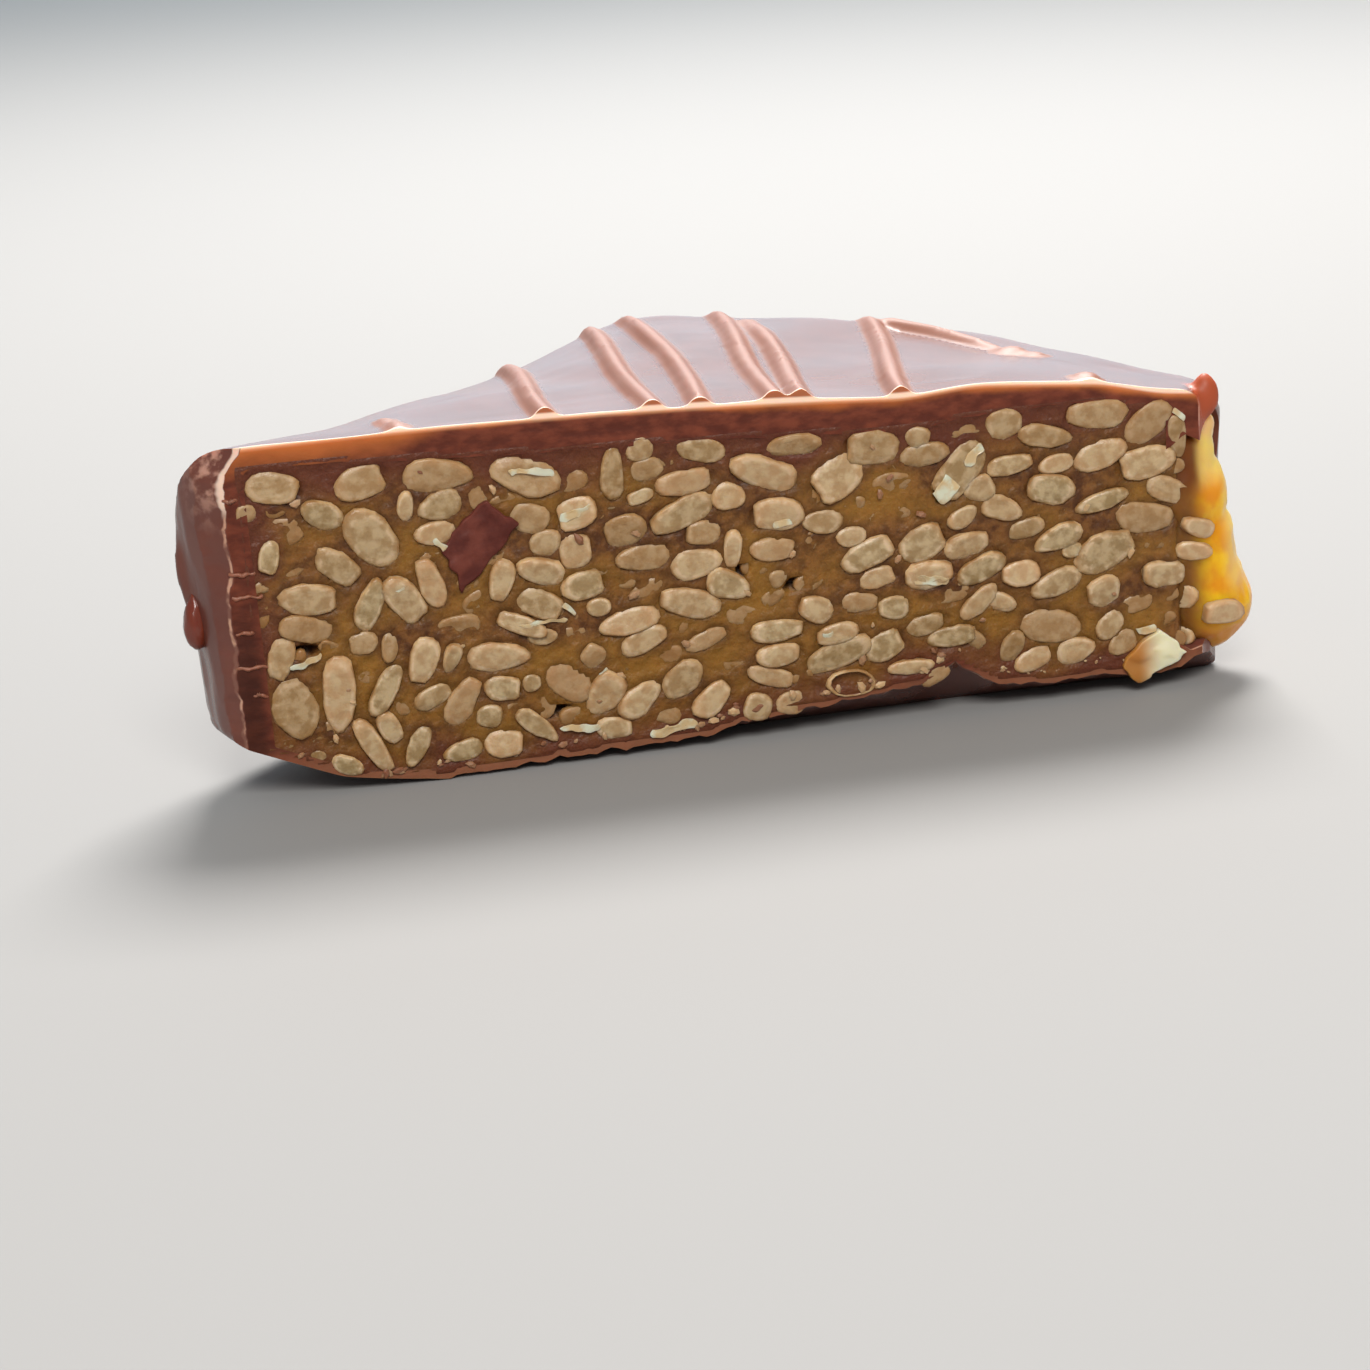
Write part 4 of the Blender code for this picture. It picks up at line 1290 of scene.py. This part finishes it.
def amber():
    """Yellow where the light comes through, orange in the folds, milky on the outermost lobes, with a
    painted shadow below the nub.
    """
    material, tree, shader = plain_material("amber_caramel", (0.75, 0.42, 0.06), 0.28)
    where = millimetres(tree)
    x, _, z = add_node(tree, "ShaderNodeSeparateXYZ", Vector=where).outputs
    cloud = ramp(tree, speckle(tree, where, 0.4, 4.0), 0.38, 0.62)
    colour = mixed(tree, cloud, (0.7, 0.27, 0.008), (0.84, 0.49, 0.01))
    outermost = times(tree, ramp(tree, x, 27.6, 28.8), ramp(tree, z, 4.5, 6.0), 0.8)
    milky = maths(tree, "MAXIMUM", outermost, ramp(tree, z, 10.5, 12.0, 0.0, 0.85))
    colour = mixed(tree, milky, colour, (0.8, 0.57, 0.17))
    colour = mixed(tree, ramp(tree, z, 13.2, 14.4, 0.0, 0.8), colour, (0.85, 0.4, 0.2))
    colour = mixed(tree, ramp(tree, z, 2.6, 4.0, 0.85, 0.0), colour, (0.62, 0.22, 0.035))
    colour = mixed(tree, ramp(tree, x, 25.7, 27.3, 1.0, 0.0), colour, (0.2, 0.074, 0.011))
    # Painted shadow: dark below the nub and the broken edge of the coat.
    shadow_below_nub = times(tree, ramp(tree, x, 26.2, 26.8, 0.9, 0.0), ramp(tree, z, 10.4, 11.8))
    colour = mixed(tree, shadow_below_nub, colour, (0.14, 0.035, 0.006))
    tree.links.new(colour, shader.inputs["Base Color"])
    see_through(shader, 0.85, 2.6, 1.6, 0.35)
    shader.inputs["Specular IOR Level"].default_value = 0.2
    shader.inputs["Coat Weight"].default_value = 0.08
    shader.inputs["Coat Roughness"].default_value = 0.12
    bump(tree, shader, speckle(tree, where, 1.2, 4.0), 0.15, 0.4)
    return material


BULGE_SEEDS = (
    (26.4, 8.9, 2.3, 1.1, -22),
    (26.1, 7.6, 2.1, 1.1, -5),
    (25.4, 5.0, 2.1, 1.4, 3),
    (27.6, 4.0, 2.9, 1.4, -5),
    (25.6, 2.7, 1.3, 1.2, 0),
)


def bulge_front(x, z):
    """Where the foremost lobe's skin is, and how far it faces to the right."""
    best = (1.0, 0.0)
    for (cx, cy, cz), (rx, ry, rz) in BULGES:
        inside = 1.0 - ((x - cx) / rx) ** 2 - ((z - cz) / rz) ** 2
        if inside > 0.0:
            y = cy - ry * math.sqrt(inside)
            if y < best[0]:
                best = (y, math.atan2((x - cx) / rx ** 2, (cy - y) / ry ** 2))
    return best[0] - 0.02, best[1]


bulge_seeds = scatter_copies(
    "bulge_seeds", seed_models, BULGE_SEEDS, bulge_front, lambda x, z: (1.0, dice.uniform(0.0, 0.2))
)
bulge_seeds.data.materials.append(sesame)
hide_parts("sesame_filling")
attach(bulge_seeds, "root")
for model in seed_models + [husk_model]:
    bpy.data.objects.remove(model, do_unlink=True)
bulge = caramel_bulge()
amber_caramel = amber()
bulge.data.materials.append(amber_caramel)
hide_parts("sesame_filling")
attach(bulge, "root")


# The flake of chocolate that the knife left on the cut, a chip of clear caramel low on the right,
# and shreds of husk: thin plates, broken along every side, that stand a little off the seeds.
FLAKE_CORNERS = ((-12.5, 14.8), (-10.8, 13.5), (-14.0, 10.1), (-14.9, 12.5))
CHIP_CORNERS = ((24.0, 3.5), (25.5, 2.0), (22.6, 0.6), (21.8, 1.7))


def broken_plate(name, corners, thickness, lift, curl):
    """A ragged plate between four corners on the cut, given clockwise from the top."""
    bpy.ops.mesh.primitive_grid_add(x_subdivisions=16, y_subdivisions=16, size=1.0)
    plate = bpy.context.object
    plate.name = name
    top_left, top_right, low_right, low_left = (Vector(corner) for corner in corners)
    for vertex in plate.data.vertices:
        u, v = vertex.co.x + 0.5, vertex.co.y + 0.5
        waist = 0.5 + (u - 0.5) * (1.0 + 0.14 * math.sin(v * math.pi))
        at = low_left.lerp(low_right, waist).lerp(top_left.lerp(top_right, waist), v)
        ragged = Vector((waver(at.x * 1.6, at.y * 1.6, k) for k in (0.0, 5.0, 9.0)))
        out = lift - curl * v * v + 0.25 * (u - 0.5) ** 2 + 0.1 * ragged.z
        vertex.co = placed(at.x + 0.22 * ragged.x, out, at.y + 0.22 * ragged.y)
    thicken(plate, (0, thickness * MM, 0))
    apply_modifier(plate, "BEVEL", width=0.1 * MM, segments=2, angle_limit=math.radians(50))
    bpy.ops.object.shade_smooth_by_angle(angle=math.radians(50.0))
    return plate


SCRAPS = (
    (-9.9, 16.05, 2.2, 0.35, -12),
    (12.3, 12.6, 1.3, 1.0, 50),
    (13.9, 14.3, 1.2, 0.6, 50),
    (-17.6, 10.8, 1.0, 0.3, -32),
    (-8.5, 8.5, 0.8, 0.25, -45),
    (3.3, 11.8, 0.9, 0.35, 5),
    (11.3, 7.7, 1.7, 0.5, -8),
    (-7.7, 13.6, 1.5, 0.5, 15),
    (-9.9, 7.95, 2.2, 0.22, 2),
    (-6.9, 4.9, 0.5, 0.2, 30),
    (-22.5, 7.35, 1.6, 0.3, 14),
    (-14.95, 12.75, 0.7, 0.3, -40),
    (5.4, 5.3, 0.6, 0.5, 0),
    (25.5, 15.2, 0.7, 0.25, -35),
    (23.2, 3.5, 1.0, 0.4, 5),
    (-8.3, 1.95, 2.0, 0.35, -8),
    (-3.4, 1.3, 2.2, 0.5, 10),
)


def husk_scraps():
    """Shreds of clear seed skin and caramel that the knife lifted, each a small ragged plate."""
    scraps = []
    for x, z, length, width, tilt in SCRAPS:
        along = Vector((math.cos(math.radians(tilt)), math.sin(math.radians(tilt)))) * length / 2.0
        across = Vector((-along.y, along.x)).normalized() * width / 2.0
        middle = Vector((x, z))
        start, end = middle - along, middle + along
        corners = (start + across, end + across, end - across, start - across)
        scraps.append(broken_plate("scrap", corners, 0.12, -0.14, 0.05))
    return joined("husk_scraps", *scraps)


def scrap_material():
    """Milky and a little green where it stands clear, honey where it lies on the caramel."""
    material, tree, shader = plain_material("husk_scrap", (0.6, 0.55, 0.4), 0.25)
    cloud = ramp(tree, speckle(tree, millimetres(tree), 1.1, 4.0), 0.4, 0.6)
    tree.links.new(mixed(tree, cloud, (0.62, 0.42, 0.22), (0.66, 0.64, 0.47)), shader.inputs["Base Color"])
    see_through(shader, 0.4, 0.8, 0.6, 0.4)
    return material


def flake_material():
    """Matt brown, a little blotched."""
    material, tree, shader = plain_material("flake_chocolate", (0.16, 0.05, 0.035), 0.5)
    where = millimetres(tree)
    cloud = ramp(tree, speckle(tree, where, 0.8, 5.0), 0.35, 0.68)
    colour = mixed(tree, cloud, (0.085, 0.017, 0.012), (0.155, 0.038, 0.025))
    tree.links.new(colour, shader.inputs["Base Color"])
    shader.inputs["Specular IOR Level"].default_value = 0.2
    see_through(shader, 0.15, 0.8, 0.3, 0.15)
    bump(tree, shader, speckle(tree, where, 4.0, 4.0), 0.06, 0.5)
    return material


def chip_material():
    """Clear and milky at its thick upper end, amber at its thin tip."""
    material, tree, shader = plain_material("chip_caramel", (0.8, 0.68, 0.4), 0.3)
    split = add_node(tree, "ShaderNodeSeparateXYZ", Vector=millimetres(tree))
    tip = ramp(tree, split.outputs[0], 22.6, 24.2, 1.0, 0.0)
    tree.links.new(mixed(tree, tip, (0.82, 0.74, 0.5), (0.42, 0.17, 0.03)), shader.inputs["Base Color"])
    see_through(shader, 0.6, 1.5, 1.1, 0.5)
    return material


flake = broken_plate("chocolate_flake", FLAKE_CORNERS, 0.4, -0.12, 0.22)
flake.data.materials.append(flake_material())
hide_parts("sesame_filling")
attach(flake, "root")
scraps = husk_scraps()
scraps.data.materials.append(scrap_material())
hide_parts("sesame_filling")
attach(scraps, "root")
chip = broken_plate("caramel_chip", CHIP_CORNERS, 0.6, -0.3, 0.15)
chip.data.materials.append(chip_material())
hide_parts("sesame_filling")
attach(chip, "root")


# The curls that the knife pushed up on the left of the cut: short ridges of chocolate that start at
# the outer edge and run across the band, each a drawn-out smear with a broken crest.
BAND_RIDGES = (
    (16.3, -25.9, -25.2),
    (12.4, -26.0, -24.7),
    (11.2, -26.0, -24.4),
    (9.3, -26.0, -25.0),
    (7.4, -26.1, -24.5),
    (5.9, -25.4, -24.6),
)


def knife_ridges():
    """Each ridge a thin rope that dips under the cut at its middle, then roughened."""
    ridges = []
    for z, left, right in BAND_RIDGES:
        drop = dice.uniform(0.0, 0.25)
        points = []
        for k in range(9):
            share = k / 8.0
            sag = 0.16 * waver(share * 4.0, z, 1.0)
            depth = 0.13 - 0.15 * math.sin(share * math.pi) ** 0.5
            points.append((left + (right - left) * share, depth, z - drop * share + sag))
        ridges.append(rope("ridge", points, 0.2, 8))
    ridge = joined("knife_ridges", *ridges)
    for vertex in ridge.data.vertices:
        vertex.co += vertex.normal * 0.09 * noise.noise(vertex.co / MM * 3.0) * MM
    bpy.ops.object.shade_smooth()
    return ridge


def ridge_material():
    """Paler than the cut, because it is scraped up thin."""
    material, tree, shader = plain_material("ridge_chocolate", (0.25, 0.085, 0.045), 0.45)
    see_through(shader, 0.3, 0.9, 0.4, 0.2)
    bump(tree, shader, speckle(tree, millimetres(tree), 3.0), 0.08, 0.6)
    return material


ridges = knife_ridges()
ridge_chocolate = ridge_material()
ridges.data.materials.append(ridge_chocolate)
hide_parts("chocolate_coat")
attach(ridges, "root")


# The drip on the left wall, the end of the strand that ran down it: a bead of dark chocolate that
# set with a wet shine.
DRIP_PLACE = (-27.8, 2.4, 9.6)
DRIP_RADII = (0.66, 0.8, 1.45)


def drip():
    """A bead, wider at its foot, uneven all round."""
    bpy.ops.mesh.primitive_uv_sphere_add(segments=24, ring_count=16, radius=1.0)
    bead = bpy.context.object
    bead.name = "drip"
    for vertex in bead.data.vertices:
        x, y, z = vertex.co
        taper = 1.0 - 0.28 * z
        lump = 1.0 + 0.12 * noise.noise(vertex.co * 2.0)
        swell = (x * taper * lump, y * taper * lump, z * lump)
        vertex.co = placed(*(at + size * share for at, size, share in zip(DRIP_PLACE, DRIP_RADII, swell)))
    make_active(bead)
    bpy.ops.object.shade_smooth()
    return bead


bead = drip()
wet, _, wet_shader = plain_material("wet_chocolate", (0.15, 0.026, 0.012), 0.14)
see_through(wet_shader, 0.3, 1.0, 0.2, 0.08)
bead.data.materials.append(wet)
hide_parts("chocolate_coat")
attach(bead, "root")


# The crumbs: specks of seed and caramel that the knife left along the edges of the filling.
CRUMB_COUNT = 90
CRUMB_SIZE = (0.09, 0.24)
FINER_FROM = 12.0


def crumbs():
    """Two in three lie along the lower edge, and the rest anywhere on the cut."""
    bpy.ops.mesh.primitive_ico_sphere_add(subdivisions=1, radius=1.0)
    model = bpy.context.object
    mesh = bmesh.new()
    tint_layer = mesh.verts.layers.float.new("tint")
    for k in range(CRUMB_COUNT):
        x = dice.uniform(-24.0, 25.0)
        low = k % 3
        z = filling_base(x) + abs(dice.gauss(0.0, 0.3)) - 0.15 if low else dice.uniform(2.0, filling_top(x))
        size = dice.uniform(*CRUMB_SIZE) * (0.45 if low and x > FINER_FROM else 1.0)
        tumble = Matrix.Rotation(dice.uniform(0.0, 6.3), 4, "Y")
        shape = tumble @ Matrix.Diagonal((size * 1.6, size * 0.6, size, 1.0))
        tint = dice.random()
        made = []
        for v in model.data.vertices:
            at = shape @ (v.co * dice.uniform(0.75, 1.25))
            made.append(mesh.verts.new(placed(x, -0.03, z) + at * MM))
            made[-1][tint_layer] = tint
        for face in model.data.polygons:
            mesh.faces.new([made[i] for i in face.vertices])
    bpy.data.objects.remove(model, do_unlink=True)
    return object_from(mesh, "crumbs")


def crumb_material():
    """From brown to the tan of seeds, by the tint of each crumb."""
    material, tree, shader = plain_material("crumb", (0.5, 0.3, 0.14), 0.5)
    colour = mixed(tree, own(tree, "tint"), (0.2, 0.07, 0.03), (0.52, 0.33, 0.17))
    tree.links.new(colour, shader.inputs["Base Color"])
    see_through(shader, 0.3, 0.6, 0.3, 0.15)
    return material


specks = crumbs()
specks.data.materials.append(crumb_material())
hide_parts("sesame_filling")
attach(specks, "root")


# The studio: a pale floor, a high light behind, a wide low panel behind that the glossy top
# mirrors, and a small light in front that fills the cut.
FLOOR_SIZE = 4.0
bpy.ops.mesh.primitive_plane_add(size=FLOOR_SIZE, location=(0, 0, 0))
floor = bpy.context.object
floor.name = "floor"
pale = bpy.data.materials.new("pale_floor")
pale.use_nodes = True
pale.node_tree.nodes["Principled BSDF"].inputs["Base Color"].default_value = (0.27, 0.27, 0.27, 1.0)
pale.node_tree.nodes["Principled BSDF"].inputs["Roughness"].default_value = 0.8
floor.data.materials.append(pale)

world = bpy.data.worlds.new("studio")
bpy.context.scene.world = world
world.use_nodes = True
world.node_tree.nodes["Background"].inputs["Color"].default_value = (1.0, 1.0, 1.0, 1.0)
world.node_tree.nodes["Background"].inputs["Strength"].default_value = 0.36


def soft_light(name, azimuth, elevation, distance, size, power, colour):
    """A square soft light that looks at the middle of the object."""
    lamp = bpy.data.lights.new(name, "AREA")
    lamp.size = size
    lamp.energy = power
    lamp.color = colour
    light = new_object(name, lamp)
    a, e = math.radians(azimuth), math.radians(elevation)
    away = Vector((-math.sin(a) * math.cos(e), -math.cos(a) * math.cos(e), math.sin(e)))
    light.location = Vector((0, 0, 0.01)) + away * distance
    light.rotation_euler = away.to_track_quat("Z", "Y").to_euler()
    light.visible_camera = False
    return light


soft_light("high_behind", 200, 52, 0.45, 0.2, 4.2, (1.0, 0.96, 0.92))
soft_light("low_behind", 191, 16, 0.7, 0.5, 1.0, (0.66, 0.86, 1.0))
soft_light("front_fill", 6, 42, 0.5, 0.22, 2.1, (1.0, 0.97, 0.92))
bpy.context.scene.view_settings.view_transform = "Standard"

AZIMUTH = math.radians(11.0)
ELEVATION = math.radians(16.0)
ROLL = math.radians(4.007)
DISTANCE = 190.0
AIM = (-2.572, 0.0, 3.584)
FOCAL_PIXELS = 3563.8
PHOTO_PIXELS = 1370
back = Vector(
    (
        -math.sin(AZIMUTH) * math.cos(ELEVATION),
        -math.cos(AZIMUTH) * math.cos(ELEVATION),
        math.sin(ELEVATION),
    )
)
level_right = Vector((math.cos(AZIMUTH), -math.sin(AZIMUTH), 0.0))
level_up = back.cross(level_right)
right = level_right * math.cos(ROLL) - level_up * math.sin(ROLL)
up = level_right * math.sin(ROLL) + level_up * math.cos(ROLL)
lens = bpy.data.cameras.new("camera")
lens.sensor_width = 36.0
lens.lens = FOCAL_PIXELS / PHOTO_PIXELS * lens.sensor_width
lens.clip_start = 0.01
camera = new_object("camera", lens)
turn = Matrix((right, up, back)).transposed().to_4x4()
camera.matrix_world = Matrix.Translation(placed(*AIM) + back * DISTANCE * MM) @ turn
bpy.context.scene.camera = camera
